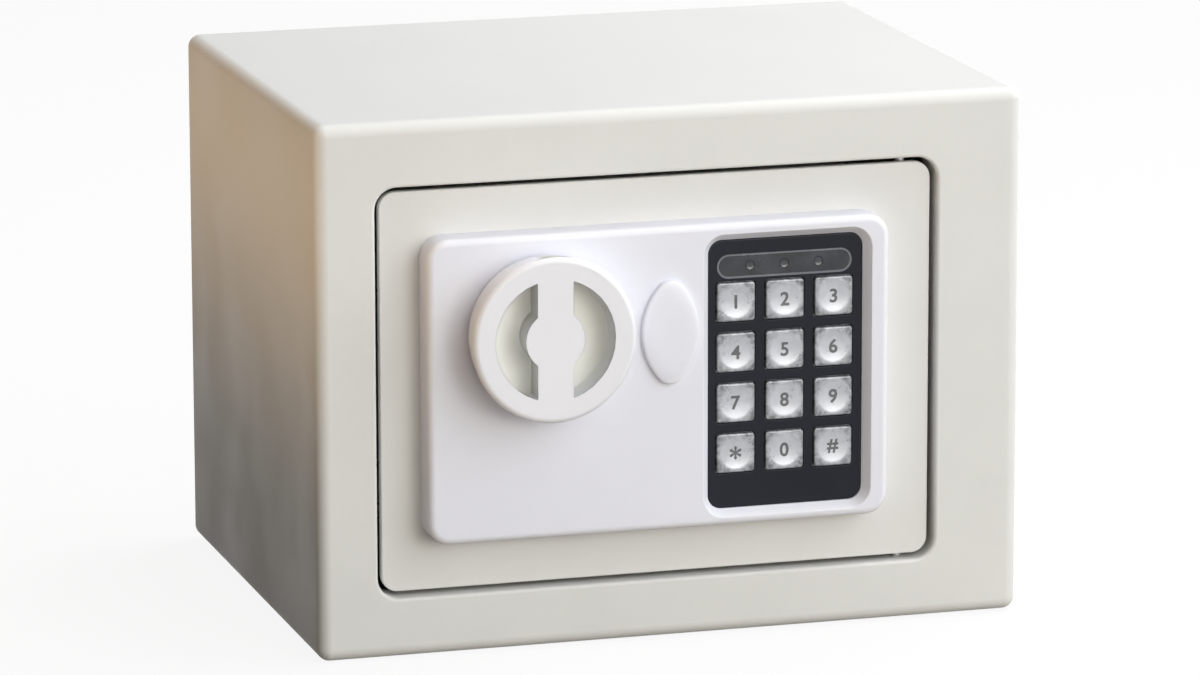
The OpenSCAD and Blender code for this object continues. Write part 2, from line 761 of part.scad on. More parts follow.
module indicator_window() color([0.1, 0.1, 0.12, 0.8]) {
    window_shape(0, bezel_y0 + eps, bezel_y1 + eps);
    // ears that hold it behind the bezel
    x = window_w / 2 + window_lap;
    z = pad_z + window_up;
    block(pad_x + field_dx - x, pad_x + field_dx + x, bezel_y1 + eps / 2, bezel_y1 + window_ear_t,
        z - window_h / 2 + slip, z + window_h / 2 - slip);
}

module indicator_lamps() color([0.3, 0.6, 0.3]) {
    front = bezel_y1 + window_ear_t + 2 * eps;
    for (i = [-1 : 1]) translate([pad_x + field_dx + i * lamp_pitch, 0, pad_z + window_up]) {
        rod_y(0, 0, lamp_d / 2, front, board_y0 - eps / 2);
        rod_y(0, 0, lamp_d / 2 + 0.4, board_y0 - 0.8, board_y0 - eps / 2);
    }
}

module key_membrane() color([0.35, 0.36, 0.38]) {
    x = key_pitch_x + key_size / 2 + key_flange;
    z = 1.5 * key_pitch_z + key_size / 2 + key_flange;
    plate(pad_x + field_dx - x, pad_x + field_dx + x, pad_z - key_drop - z, pad_z - key_drop + z,
        membrane_y0, membrane_y0 + membrane_t, 2);
}

module circuit_board() color([0.10, 0.40, 0.22]) {
    back = board_y0 + board_t;
    difference() {
        plate(pad_x - bezel_w / 2 - 0.5, pad_x + bezel_w / 2 + 0.5,
            pad_z - bezel_h / 2, pad_z + bezel_h / 2, board_y0, back, 2);
        at_board_corners() rod_y(0, 0, board_screw_r + 0.25, board_y0 - over, back + over);
    }
    // control chip and the leads' socket
    block(pad_x - chip_w / 2, pad_x + chip_w / 2, back, back + chip_t,
        pad_z + chip_up - chip_h / 2, pad_z + chip_up + chip_h / 2);
    block(wire_x - socket_w / 2, wire_x + socket_w / 2, back, back + chip_t,
        wire_z + socket_h, wire_z + 2 * socket_h);
}

module board_screws() color(steel) at_board_corners()
    screw(0, 0, board_y0 + board_t, board_screw_r, board_t + board_y0 - bezel_y1 - slip, 1.8, 0.8);

// keycap with a round dish in its face and a ledge behind the bezel
module key(i) color(silver) translate([key_at(i)[0], 0, key_at(i)[1]]) difference() {
    half = key_size / 2;
    ledge = half + key_flange;
    union() {
        plate(-half, half, -half, half, key_y0, flange_y0 + key_flange_t, 1);
        plate(-ledge, ledge, -ledge, ledge, flange_y0, flange_y0 + key_flange_t, 1);
    }
    translate([0, key_y0 - dish_r + dish_depth, 0]) sphere(dish_r, $fn = 96);
}

// ---- knob and crank ----

module knob() color(plastic) {
    base_y = panel_y0 - slip;
    height = base_y - knob_y0;
    difference() {
        union() {
            translate([axis_x, base_y, axis_z]) rotate([90, 0, 0]) rotate_extrude()
                intersection() {
                    corner_profile(knob_d / 2, height, knob_edge);
                    square([knob_d / 2, height]);
                }
            rod_y(axis_x, axis_z, shank_d / 2, base_y - over, clip_y0 - slip);
        }
        along_y(knob_y0 - over, knob_y0 + grip_depth) translate([axis_x, axis_z]) difference() {
            circle(grip_d / 2);
            circle(hub_d / 2);
            square([bar_w, grip_d + over], center = true);
        }
        rod_y(axis_x, axis_z, spindle_d / 2 + running, knob_y0 + knob_roof, door_y0);
    }
}

module knob_spindle() color(steel) difference() {
    rod_y(axis_x, axis_z, spindle_d / 2, knob_y0 + knob_roof + 2 * eps, crank_y0 + crank_t);
    difference() {
        rod_y(axis_x, axis_z, spindle_d / 2 + over, clip_y0 - running, clip_y0 + clip_t + running);
        rod_y(axis_x, axis_z, spindle_d / 2 - clip_groove, clip_y0 - over, clip_y0 + clip_t + over);
    }
}

module spindle_clip() color(steel) difference() {
    mouth = spindle_d / 2 - clip_groove - eps;
    rod_y(axis_x, axis_z, spindle_d / 2 + clip_w, clip_y0, clip_y0 + clip_t);
    rod_y(axis_x, axis_z, spindle_d / 2 - clip_groove + running, clip_y0 - over, clip_y0 + clip_t + over);
    block(axis_x - mouth, axis_x + mouth, clip_y0 - over, clip_y0 + clip_t + over,
        axis_z - spindle_d, axis_z);
}

module crank_disc() color(zinc) {
    difference() {
        rod_y(axis_x, axis_z, crank_disc_r, crank_y0, crank_y0 + crank_t);
        rod_y(axis_x, axis_z, spindle_d / 2 + running, crank_y0 - over, crank_y0 + crank_t + over);
    }
    rod_y(pin_x, pin_z, crank_pin_d / 2, crank_y0 + crank_t / 2, carriage_y1 + 1.5);
}

// ---- bolt work ----

module bolt_carriage() color(zinc) {
    slot_w = crank_pin_d + 0.8;
    arm_z0 = tab_z0 - 1.2;
    arm_z1 = axis_z + crank_r + crank_pin_d + 3;
    difference() {
        union() {
            block(carriage_x0, carriage_x1, carriage_y0, carriage_y1, carriage_z0, carriage_z1);
            block(carriage_x0, carriage_x0 + carriage_t, carriage_y0, fold_y1, carriage_z0, carriage_z1);
            block(carriage_x1 - over, tab_x0 + carriage_t, carriage_y0, carriage_y1, arm_z0, arm_z1);
            block(tab_x0, tab_x0 + carriage_t, carriage_y0, tab_y1, tab_z0, tab_z0 + tab_h);
        }
        // upright slot for the crank pin
        slot_hole(pin_x - slot_w / 2, pin_x + slot_w / 2,
            pin_z - slot_w / 2 - 2 * slip, axis_z + crank_r + slot_w / 2 + 2 * slip,
            carriage_y0 - over, carriage_y1 + over);
        // level slots for the guide studs
        for (z = stud_z)
            slot_hole(stud_x - stud_d / 2 - slip, stud_x + stud_d / 2 + slip + throw,
                z - stud_d / 2 - eps, z + stud_d / 2 + eps, carriage_y0 - over, carriage_y1 + over);
        for (s = [-1, 1]) rod_x(bolt_y, bolt_z + s * bolt_pitch / 2, bolt_screw_r + 2 * slip,
            carriage_x0 - over, carriage_x0 + carriage_t + over);
    }
}

module bolt(z) color(steel) difference() {
    length = carriage_x0 - bolt_tip;
    translate([carriage_x0, bolt_y, z]) rotate([0, -90, 0]) rotate_extrude()
        polygon([[0, 0], [bolt_d / 2, 0], [bolt_d / 2, length - bolt_nose],
            [bolt_d / 2 - bolt_nose, length], [0, length]]);
    rod_x(bolt_y, z, bolt_screw_r + eps, carriage_x0 - bolt_screw_len, carriage_x0 + over);
}

module upper_bolt() bolt(bolt_z + bolt_pitch / 2);
module lower_bolt() bolt(bolt_z - bolt_pitch / 2);

module bolt_screws() color(steel) for (s = [-1, 1])
    translate([carriage_x0 + carriage_t, bolt_y, bolt_z + s * bolt_pitch / 2]) rotate([0, 0, -90])
        screw(0, 0, 0, bolt_screw_r, bolt_screw_len, 1.9 * bolt_screw_r, 1.2 * bolt_screw_r);

// ---- solenoid ----

module solenoid_frame() color(zinc) {
    x0 = plunger_x - solenoid_w / 2;
    x1 = plunger_x + solenoid_w / 2;
    y0 = plunger_y - solenoid_d / 2;
    y1 = plunger_y + solenoid_d / 2;
    z0 = coil_top - solenoid_h;
    difference() {
        union() {
            block(x0, x1, y0, y1, coil_top - bracket_t, coil_top);
            block(x0, x1, y0, y1, z0, z0 + bracket_t);
            block(x0, x0 + bracket_t, y0, y1, z0, coil_top);
            block(x1 - bracket_t, x1, y0, y1, z0, coil_top);
            // foot on the door plate
            block(x0, x1, door_y1, y0 + over, z0 - solenoid_foot, z0 + bracket_t);
        }
        rod_z(plunger_x, plunger_y, plunger_d / 2 + slip, z0 + bracket_t - over, coil_top + over);
    }
}

module solenoid_coil() color([0.55, 0.20, 0.10]) difference() {
    half = solenoid_w / 2 - bracket_t - eps;
    z0 = coil_top - solenoid_h + bracket_t + eps;
    z1 = coil_top - bracket_t - eps;
    union() {
        rod_z(plunger_x, plunger_y, half - 1, z0, z1);
        rod_z(plunger_x, plunger_y, half - 0.8, z0, z0 + 1.5);
        rod_z(plunger_x, plunger_y, half - 0.8, z1 - 1.5, z1);
    }
    rod_z(plunger_x, plunger_y, plunger_d / 2 + slip, z0 - over, z1 + over);
}

module plunger() color(steel) {
    rod_z(plunger_x, plunger_y, plunger_d / 2, coil_top - solenoid_h + bracket_t + 2, plunger_tip);
    rod_z(plunger_x, plunger_y, collar_r, collar_top - collar_t, collar_top);
}

module plunger_spring() color(silver) translate([plunger_x, plunger_y, coil_top + eps])
    coil(plunger_d / 2 + slip + spring_wire / 2, spring_wire, 4, spring_len - 2 * eps);

// ---- override lock ----

module lock_housing() color(silver) difference() {
    union() {
        rod_y(key_x, key_z, lock_d / 2, lock_y0, lock_y1);
        rod_y(key_x, key_z, lock_d / 2 + lock_lip, door_y0 - lock_lip, door_y0);
    }
    rod_y(key_x, key_z, core_d / 2 + running, lock_y0 - over, lock_y1 + over);
}

module lock_nut() color(steel) difference() {
    translate([key_x, door_y1 + lock_nut_t, key_z]) rotate([90, 0, 0])
        cylinder(r = lock_nut_af / sqrt(3), h = lock_nut_t, $fn = 6);
    rod_y(key_x, key_z, lock_d / 2 + eps, door_y1 - over, door_y1 + lock_nut_t + over);
}

module lock_core() color(zinc) difference() {
    union() {
        rod_y(key_x, key_z, core_d / 2, lock_y0 + slip, lock_y1 + slip);
        rod_y(key_x, key_z, arm_stem_r, lock_y1, arm_y0 + arm_t + arm_nut_t + 2 * slip);
    }
    block(key_x - key_slot_w / 2, key_x + key_slot_w / 2, lock_y0 - over, lock_y0 + key_slot_d,
        key_z - key_slot_h / 2, key_z + key_slot_h / 2);
}

// the arm stands up at rest and turns down to the left, onto the plunger's collar
module release_arm() color(zinc) difference() {
    union() {
        rod_y(key_x, key_z, arm_hub_r, arm_y0, arm_y0 + arm_t);
        plate(key_x - arm_w / 2, key_x + arm_w / 2, key_z, key_z + arm_len,
            arm_y0, arm_y0 + arm_t, 1.5);
    }
    rod_y(key_x, key_z, arm_stem_r + running, arm_y0 - over, arm_y0 + arm_t + over);
}

module arm_nut() color(steel) difference() {
    y0 = arm_y0 + arm_t;
    translate([key_x, y0 + arm_nut_t, key_z]) rotate([90, 0, 0])
        cylinder(r = arm_stem_r + 2.2, h = arm_nut_t, $fn = 6);
    rod_y(key_x, key_z, arm_stem_r + running, y0 - over, y0 + arm_nut_t + over);
}

// oval of two long arcs, with a round end of radius r that they run into smoothly
module oval(w, h, r) {
    end_z = h / 2 - r;
    side_r = (w * w / 4 + end_z * end_z - r * r) / (w - 2 * r);
    meet_z = end_z * side_r / (side_r - r);
    intersection() {
        square([w, 2 * meet_z], center = true);
        translate([side_r - w / 2, 0]) circle(side_r, $fn = 128);
        translate([w / 2 - side_r, 0]) circle(side_r, $fn = 128);
    }
    for (s = [-1, 1]) translate([0, s * end_z]) circle(r);
}

module oval_cover() color(plastic) difference() {
    union() {
        along_y(panel_y0 - oval_t + oval_step, panel_y0)
            translate([key_x, key_z]) oval(oval_w, oval_h, oval_r);
        along_y(panel_y0 - oval_t, panel_y0 - oval_t + oval_step) translate([key_x, key_z])
            oval(oval_w - 2 * oval_step, oval_h - 2 * oval_step, oval_r - oval_step);
        rod_y(key_x, key_z, port_r - slip, panel_y0 - over, panel_y0 + panel_wall);
    }
    rod_y(key_x, key_z, port_r - slip - plug_wall, panel_y0, panel_y0 + panel_wall + over);
}

// ---- inner cover ----

module at_posts() {
    for (x = [post_x0, post_x1], z = [post_z0, post_z1]) translate([x, 0, z]) children();
}

module inner_cover() color(paint) difference() {
    y0 = door_y1 + eps;
    plate(cover_x0, cover_x1, cover_z0, cover_z1, y0, cover_y1, 3);
    plate(cover_x0 + cover_wall, cover_x1 - cover_wall, cover_z0 + cover_wall, cover_z1 - cover_wall,
        y0 - over, cover_y1 - cover_wall, 3 - cover_wall);
    for (s = [-1, 1]) rod_x(bolt_y, bolt_z + s * bolt_pitch / 2, bolt_d / 2 + 1,
        cover_x0 - over, cover_x0 + cover_wall + over);
    block(tray_x0 + tray_wall, tray_x1 - tray_wall, cover_y1 - cover_wall - over, cover_y1 + over,
        tray_z0 + tray_wall, tray_z0 + tray_h - tray_wall);
    rod_y(reset_x, reset_z, reset_d / 2 + slip, cover_y1 - cover_wall - over, cover_y1 + over);
    at_posts() rod_y(0, 0, screw_r + slip, cover_y1 - cover_wall - over, cover_y1 + over);
}

module cover_posts() color(steel) at_posts() difference() {
    rod_y(0, 0, post_r, door_y1, cover_y1 - cover_wall);
    rod_y(0, 0, screw_r + running, cover_y1 - cover_wall - cover_screw_len - over, cover_y1);
}

module cover_screws() color(steel) at_posts()
    screw(0, 0, cover_y1, screw_r, cover_wall + cover_screw_len, head_r, head_t);

module battery_tray() color(dark) difference() {
    block(tray_x0, tray_x1, tray_y0, tray_y1, tray_z0, tray_z0 + tray_h);
    block(tray_x0 + tray_wall, tray_x1 - tray_wall, tray_y0 + tray_wall, tray_y1 + over,
        tray_z0 + tray_wall, tray_z0 + tray_h - tray_wall);
}

// side of cell number i on which its nub lies: 1 is up
function nub_side(i) = i % 2 == 0 ? 1 : -1;
function cell_x(i) = tray_x0 + tray_wall + (i + 0.5) * cell_pitch;
function cell_mid() = tray_z0 + tray_h / 2;

module battery_cells() color([0.30, 0.32, 0.36]) for (i = [0 : 3]) {
    shift = nub_side(i) * contact_spring / 2;
    translate([cell_x(i), cell_y, cell_mid() + shift]) rotate([nub_side(i) > 0 ? 0 : 180, 0, 0]) {
        translate([0, 0, -cell_len / 2]) cylinder(r = cell_d / 2, h = cell_len - nub_h);
        translate([0, 0, cell_len / 2 - nub_h - over]) cylinder(r = nub_r, h = nub_h + over - eps);
    }
}

module battery_contacts() color(silver) for (i = [0 : 3]) translate([cell_x(i), cell_y, cell_mid()])
    rotate([nub_side(i) > 0 ? 0 : 180, 0, 0]) {
        half = tray_h / 2 - tray_wall;
        for (z = [-half, half - contact_t])
            block(-contact_w / 2, contact_w / 2, -contact_w / 2, contact_w / 2, z, z + contact_t);
        translate([0, 0, -half + contact_t + eps / 2]) coil(3.4, 0.8, 3, contact_spring - 1.5 * eps);
    }

module battery_lid() color(dark) {
    x0 = tray_x0 + tray_wall;
    x1 = tray_x1 - tray_wall;
    z0 = tray_z0 + tray_wall;
    z1 = tray_z0 + tray_h - tray_wall;
    plate(x0 - lid_lap, x1 + lid_lap - 1, z0 - lid_lap, z1 + lid_lap, cover_y1, cover_y1 + lid_t, 2);
    for (z = [z0 + slip, z1 - slip - lid_rib])
        block(x0 + slip, x1 - slip, cover_y1 - cover_wall, cover_y1 + lid_t / 2, z, z + lid_rib);
}

module reset_switch() color(dark) difference() {
    y1 = cover_y1 - cover_wall;
    well_y = y1 - reset_stem - reset_travel - 0.5;
    block(reset_x - reset_box / 2, reset_x + reset_box / 2, well_y - tray_wall, y1,
        reset_z - reset_box / 2, reset_z + reset_box / 2);
    rod_y(reset_x, reset_z, reset_d / 2 + reset_lip + slip, well_y, y1 + over);
}

module reset_button() color([0.75, 0.10, 0.10]) {
    y1 = cover_y1 - cover_wall;
    rod_y(reset_x, reset_z, reset_d / 2, y1 - reset_stem, cover_y1 + reset_travel + 0.5);
    rod_y(reset_x, reset_z, reset_d / 2 + reset_lip, y1 - reset_lip, y1 - eps);
}

// ---- wires ----

module battery_leads() color([0.7, 0.1, 0.1]) for (s = [-1, 1])
    wire([
        [wire_x + 2.2, board_y0 + board_t + 1, wire_z + 1.4 * s],
        [wire_x + 2.2, door_y0 + 2, wire_z + 1.4 * s],
        [wire_x + 3, door_y1 + 4, wire_z + 1.6 * s],
        [wire_x + 6, door_y1 + 10, wire_z + 2 * s],
        [wire_x + 7, tray_y0 - 4, wire_z + 2 * s],
        [wire_x + 7, tray_y0 - 0.2, wire_z + 2 * s]
    ], lead_d);

module solenoid_leads() color([0.2, 0.2, 0.2]) for (s = [-1, 1])
    wire([
        [wire_x - 2.2, board_y0 + board_t + 1, wire_z + 1.4 * s],
        [wire_x - 2.2, door_y0 + 2, wire_z + 1.4 * s],
        [wire_x - 4, door_y1 + 5, wire_z + 1.5 * s],
        [wire_x - 14, door_y1 + 9, wire_z + 3 + 1.5 * s],
        [plunger_x + 16, door_y1 + 17, coil_mid - 5 + 1.8 * s],
        [plunger_x + 5, plunger_y + 13, coil_mid + 1.8 * s],
        [plunger_x + 2, plunger_y + 11, coil_mid + 1.8 * s],
        [plunger_x + 1.5, plunger_y + 7.7, coil_mid + 1.8 * s]
    ], lead_d);

body_wrap();
front_frame();
back_panel();
hinge_brackets();
floor_mat();
door_plate();
door_hinge_blocks();
hinge_pins();
bolt_guide();
guide_studs();
front_panel();
panel_screws();
keypad_bezel();
indicator_window();
indicator_lamps();
key_membrane();
circuit_board();
board_screws();
for (i = [0 : 11]) key(i);
knob();
knob_spindle();
spindle_clip();
crank_disc();
bolt_carriage();
upper_bolt();
lower_bolt();
bolt_screws();
solenoid_frame();
solenoid_coil();
plunger();
plunger_spring();
lock_housing();
lock_nut();
lock_core();
release_arm();
arm_nut();
oval_cover();
inner_cover();
cover_posts();
cover_screws();
battery_tray();
battery_cells();
battery_contacts();
battery_lid();
reset_switch();
reset_button();
battery_leads();
solenoid_leads();
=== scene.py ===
# %% [markdown]
# # A small electronic safe deposit box
# The real box is folded sheet steel under white powder coat. Its door carries a raised white
# plastic panel with a bolt knob, an oval cover over the override lock and a keypad in a sloped
# well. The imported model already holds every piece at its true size, so this scene only gives
# the pieces their finished surfaces, their materials, the camera and the light.

# %% Load the fixed frame
import json
import math
import bpy
import bmesh
import numpy as np
from mathutils import Matrix, Vector
from mathutils.geometry import tessellate_polygon


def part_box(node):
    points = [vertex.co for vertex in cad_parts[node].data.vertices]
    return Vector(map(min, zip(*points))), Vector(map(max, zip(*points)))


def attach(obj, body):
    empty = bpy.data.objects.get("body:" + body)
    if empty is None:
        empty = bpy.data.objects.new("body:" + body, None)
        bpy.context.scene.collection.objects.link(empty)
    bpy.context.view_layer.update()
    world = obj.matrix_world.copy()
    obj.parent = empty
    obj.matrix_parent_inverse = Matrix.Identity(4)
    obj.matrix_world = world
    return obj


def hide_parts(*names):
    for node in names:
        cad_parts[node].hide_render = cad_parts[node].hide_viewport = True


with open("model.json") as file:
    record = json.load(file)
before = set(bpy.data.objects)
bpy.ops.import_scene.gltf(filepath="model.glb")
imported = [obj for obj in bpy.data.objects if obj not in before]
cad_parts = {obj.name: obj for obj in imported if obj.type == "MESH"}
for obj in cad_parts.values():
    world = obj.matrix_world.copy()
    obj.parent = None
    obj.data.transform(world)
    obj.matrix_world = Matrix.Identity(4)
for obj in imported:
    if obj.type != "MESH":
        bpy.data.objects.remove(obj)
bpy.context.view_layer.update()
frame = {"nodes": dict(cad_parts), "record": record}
nodes = frame["nodes"]

# %% [markdown]
# ## Camera
# The photograph was taken with a long lens from the front left, a little above the box. A long
# lens keeps upright edges nearly parallel. The camera could be aimed by hand, but three angles
# can be fitted to the corners of the box and written down. The camera's own axes are right, up
# and backwards, which is how Blender's cameras look down -Z.

# %% Aim the camera
YAW, PITCH, ROLL = math.radians(16.46), math.radians(12.55), math.radians(-0.10)
STAND = (-0.6047, -2.0505, 0.5545)
scene = bpy.context.scene
scene.view_settings.view_transform = "Standard"


def looking(yaw, pitch, roll):
    """Right, up and forward: yaw turns from +Y towards +X, pitch looks down, roll tips the top."""
    cy, sy, cp, sp = math.cos(yaw), math.sin(yaw), math.cos(pitch), math.sin(pitch)
    forward = Vector((sy * cp, cy * cp, -sp))
    right = Vector((cy, -sy, 0))
    up = right.cross(forward)
    cr, sr = math.cos(roll), math.sin(roll)
    return cr * right + sr * up, cr * up - sr * right, forward


right, up, forward = looking(YAW, PITCH, ROLL)
camera = bpy.data.objects.new("camera", bpy.data.cameras.new("camera"))
camera.data.lens = 202.2
camera.data.sensor_width = 36.0
camera.data.clip_start, camera.data.clip_end = 0.1, 30.0
turn = Matrix((right, up, -forward)).transposed().to_4x4()
camera.matrix_world = Matrix.Translation(STAND) @ turn
scene.collection.objects.link(camera)
scene.camera = camera
print("camera at", [round(v, 3) for v in camera.matrix_world.translation])

# %% [markdown]
# ## Surfaces from outlines
# Nearly every piece here is sheet or moulding: an outline that is carried back and forth in
# depth. Such a piece could start from a cube with a Bevel modifier, but then all its edges get
# the same round. Here a surface is a function of two parameters. One runs round the outline,
# the other along a profile of (inset, depth) rows, where the inset moves the outline inwards
# by a true offset. An outline of arcs makes that offset exact, because only the radii change.

# %% Outlines of arcs


def arcs(*parts, steps=8):
    """Outline of arcs (x, z, radius, start, end) in degrees, counter-clockwise, that run
    straight or smoothly into each other. A point is the centre plus radius times (cos, sin);
    an inset takes from the radius of an outward arc and adds to a hollow one, whose radius is
    given as negative."""
    def points(inset):
        rings = []
        for x, z, radius, start, end in parts:
            a = np.radians(np.linspace(start, end, steps + 1))
            q = abs(radius) - math.copysign(inset, radius)
            rings.append(np.stack([x + q * np.cos(a), z + q * np.sin(a)], 1))
        return np.concatenate(rings)

    first = points(0.0)
    keep = np.linalg.norm(first - np.roll(first, -1, 0), axis=1) > 1e-6
    return lambda inset=0.0: points(inset)[keep]


def circle(x, z, radius, steps=64):
    """One arc all the way round: centre plus radius times (cos, sin)."""
    return arcs((x, z, radius, 0, 360), steps=steps)


def pill(x, z, width, height, steps=16):
    """Slot with round ends left and right, each a half circle as high as the slot."""
    r = height / 2
    e = width / 2 - r
    return arcs((x + e, z, r, -90, 90), (x - e, z, r, 90, 270), steps=steps)


print("a circle of radius 10, inset by 1, is", round(np.ptp(circle(0, 0, 10)(1)[:, 0]), 2), "wide")

# %% [markdown]
# Folded sheet has an inner radius smaller than its outer one. An inset past the corner radius
# would turn an arc inside out, so a rectangle has its own rule: the radius shrinks to almost
# nothing, and the corner's point goes on moving inwards.

# %% Outline of a rounded rectangle
SHARP = 0.01


def rounded(x0, x1, z0, z1, radius, steps=8):
    """Rectangle whose corners are quarter circles of radius minus inset, or almost sharp ones;
    a centre lies inset plus that radius inside both edges."""
    def points(inset=0.0):
        r = max(radius - inset, SHARP)
        rings = []
        for x, z, start in ((x1, z0, -90), (x1, z1, 0), (x0, z1, 90), (x0, z0, 180)):
            a = np.radians(np.linspace(start, start + 90, steps + 1))
            cx = x - math.copysign(inset + r, x - x0 - 1e-9)
            cz = z - math.copysign(inset + r, z - z0 - 1e-9)
            rings.append(np.stack([cx + r * np.cos(a), cz + r * np.sin(a)], 1))
        return np.concatenate(rings)
    return points


print("a rounded rectangle has", len(rounded(0, 2, 0, 1, 0.2)()), "points")

# %% [markdown]
# The front, the sides and the floor of a box are outlines in three different planes. Every
# piece could be drawn in one plane and turned, but its object has to stay unturned, so the
# outline's two columns and its depth are put straight where x, y and z belong.

# %% Planes that an outline can lie in


def in_plane(*order):
    """Which of (first column, second column, depth) becomes x, y and z, counted from 0."""
    def placed(flat, depth):
        return np.column_stack([flat, np.full(len(flat), depth)])[:, list(order)]
    return placed


upright, sideways, level = in_plane(0, 2, 1), in_plane(2, 0, 1), in_plane(0, 1, 2)
print("point (1, 2) at depth 3:", upright(np.array([[1.0, 2.0]]), 3.0)[0])

# %% [markdown]
# A bent or moulded edge is a quarter circle of rows. A Bevel modifier could round it too, but
# rows can also say what is worn: each carries a mark, 1 in the middle of the bend, which the
# materials read where paint or plastic is rubbed. A flat row just past the bend keeps the
# shading of the face flat, because smooth shading mixes the faces that meet at a point.

# %% Rows of a profile
FLAT_STRIP = 0.08


def bend(radius, inset, depth, hole=False, back=False, steps=5):
    """Rows from the wall over to the face: inset + r (1 - cos a), depth + r (1 - sin a)."""
    a = np.linspace(0, math.pi / 2, steps + 1)
    side, way = (-1 if hole else 1), (-1 if back else 1)
    rows = np.stack([inset + side * radius * (1 - np.cos(a)),
                     depth + way * radius * (1 - np.sin(a)), np.sin(2 * a)], 1)
    return np.concatenate([rows, [[inset + side * (radius + FLAT_STRIP), depth, 0]]])


def plain(*rows):
    """Rows of (inset, depth) with no mark."""
    return np.array([[inset, depth, 0] for inset, depth in rows], float)


print("highest mark on a bend:", round(bend(1.0, 0, 0, steps=8)[:, 2].max(), 3))

# %% [markdown]
# Lengths here are in millimetres, as on a drawing, and become metres when a mesh is made. The
# frame knows where each node is, so a piece starts from its node's corners. Numbers per vertex,
# such as the marks, are kept on the mesh as an attribute.

# %% Sizes of a node and numbers on a mesh
MM = 0.001


def span(node):
    """Lowest and highest corner of a node of the frame, in millimetres."""
    low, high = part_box(node)
    return np.array(low) / MM, np.array(high) / MM


def marked(mesh, name, values):
    """One number per vertex, kept as an attribute that a material can read."""
    layer = mesh.attributes.new(name, "FLOAT", "POINT")
    layer.data.foreach_set("value", np.asarray(values, np.float32))


def places(mesh):
    """Every vertex as a row (x, y, z)."""
    flat = np.zeros(len(mesh.vertices) * 3, np.float32)
    mesh.vertices.foreach_get("co", flat)
    return flat.reshape(-1, 3)


low, high = span("door_plate")
print("the door plate is", np.round(high - low, 1), "mm")

# %% [markdown]
# A piece is more than one swept surface: a panel has an outside, an inside, holes and the flat
# faces between them. They could be cut with Boolean modifiers, which leave thin triangles at
# round holes. Here each patch is swept by itself, flat faces are filled between the rings of
# points, and the weld joins what shares a row. The open edges in its print should be 0.

# %% A skin collects patches and closes them
CREASE = 34


class Skin:
    """Patches of surface in millimetres; weld() joins them at their shared rows."""

    def __init__(self):
        self.points, self.faces, self.marks, self.count = [], [], [], 0

    def put(self, points, faces, marks):
        """Keep a patch; its faces count on from the points that are there already."""
        self.points.append(points)
        self.marks.append(marks)
        self.faces += (np.asarray(faces) + self.count).tolist()
        self.count += len(points)

    def sweep(self, *parts, at=upright, loop=False, around=True):
        """Quads between neighbouring rows; parts are (outline, rows) pairs in order. The ring
        of a row is the outline at the row's inset, put at the row's depth."""
        rings = np.array([at(shape(i), d) for shape, rows in parts for i, d, m in rows])
        marks = np.concatenate([rows[:, 2] for shape, rows in parts])
        count, n = rings.shape[:2]
        i = np.arange(count if loop else count - 1)[:, None]
        j = np.arange(n if around else n - 1)[None, :]
        k, l = (i + 1) % count, (j + 1) % n
        quads = np.stack([i * n + j, i * n + l, k * n + l, k * n + j], -1).reshape(-1, 4)
        self.put(rings.reshape(-1, 3), quads, np.repeat(marks, n))
        return rings

    def face(self, *loops):
        """Flat face inside the first ring and outside the others."""
        corners = np.concatenate(loops)
        triangles = tessellate_polygon([[Vector(p) for p in loop] for loop in loops])
        self.put(corners, triangles, np.zeros(len(corners)))

    def plate(self, shape, holes, near, far, edge=0.3, at=upright):
        """Flat plate between two depths with softened edges, round the outside and the holes."""
        rims = []
        for outline, hole in [(shape, False)] + [(h, True) for h in holes]:
            rows = [bend(edge, 0, far, hole, back=True)[::-1], bend(edge, 0, near, hole)]
            rims.append(self.sweep((outline, np.concatenate(rows)), at=at))
        self.face(*[rim[0] for rim in rims])
        self.face(*[rim[-1] for rim in rims])

    def turned(self, x, z, profile, steps=48):
        """Tube turned about a line along Y: profile rows are (radius, y), outside then inside.
        The outline is a circle of radius 1, so a radius r is an inset of 1 - r."""
        rows = np.array([[1 - r, y, 0] for r, y in profile], float)
        rings = self.sweep((circle(x, z, 1.0, steps), rows))
        self.face(rings[0], rings[-1])

    def weld(self, name):
        """One mesh in metres: rows within 0.002 mm merge, the faces turn outwards, and an edge
        is sharp where its faces meet at more than the crease angle."""
        mesh = bpy.data.meshes.new(name)
        mesh.from_pydata((np.concatenate(self.points) * MM).tolist(), [], self.faces)
        marked(mesh, "edge", np.concatenate(self.marks))
        work = bmesh.new()
        work.from_mesh(mesh)
        bmesh.ops.remove_doubles(work, verts=work.verts, dist=2e-6)
        bmesh.ops.dissolve_degenerate(work, dist=1e-6, edges=work.edges)
        bmesh.ops.recalc_face_normals(work, faces=work.faces)
        loose = sum(1 for e in work.edges if len(e.link_faces) != 2)
        work.to_mesh(mesh)
        work.free()
        mesh.shade_smooth()
        mesh.set_sharp_from_angle(angle=math.radians(CREASE))
        piece = bpy.data.objects.new(name, mesh)
        scene.collection.objects.link(piece)
        print(f"{name}: {len(mesh.polygons)} faces, {loose} open edges")
        return piece


# %% [markdown]
# ## Finishes
# Paint, plastic and metal could each have an image wrapped round them. Noise worked out from
# Object coordinates needs no image and no seam, and it stays on the piece when it moves. A few
# helpers keep the node trees readable: one adds a node with its settings, the others make the
# steps that come back in every material.

# %% Node helpers
COLOUR_A, COLOUR_B, COLOUR_OUT = 6, 7, 2


def fill(tree, socket, value):
    """Link a socket to another node's output, or set its own value."""
    if isinstance(value, bpy.types.NodeSocket):
        tree.links.new(value, socket)
    else:
        socket.default_value = value


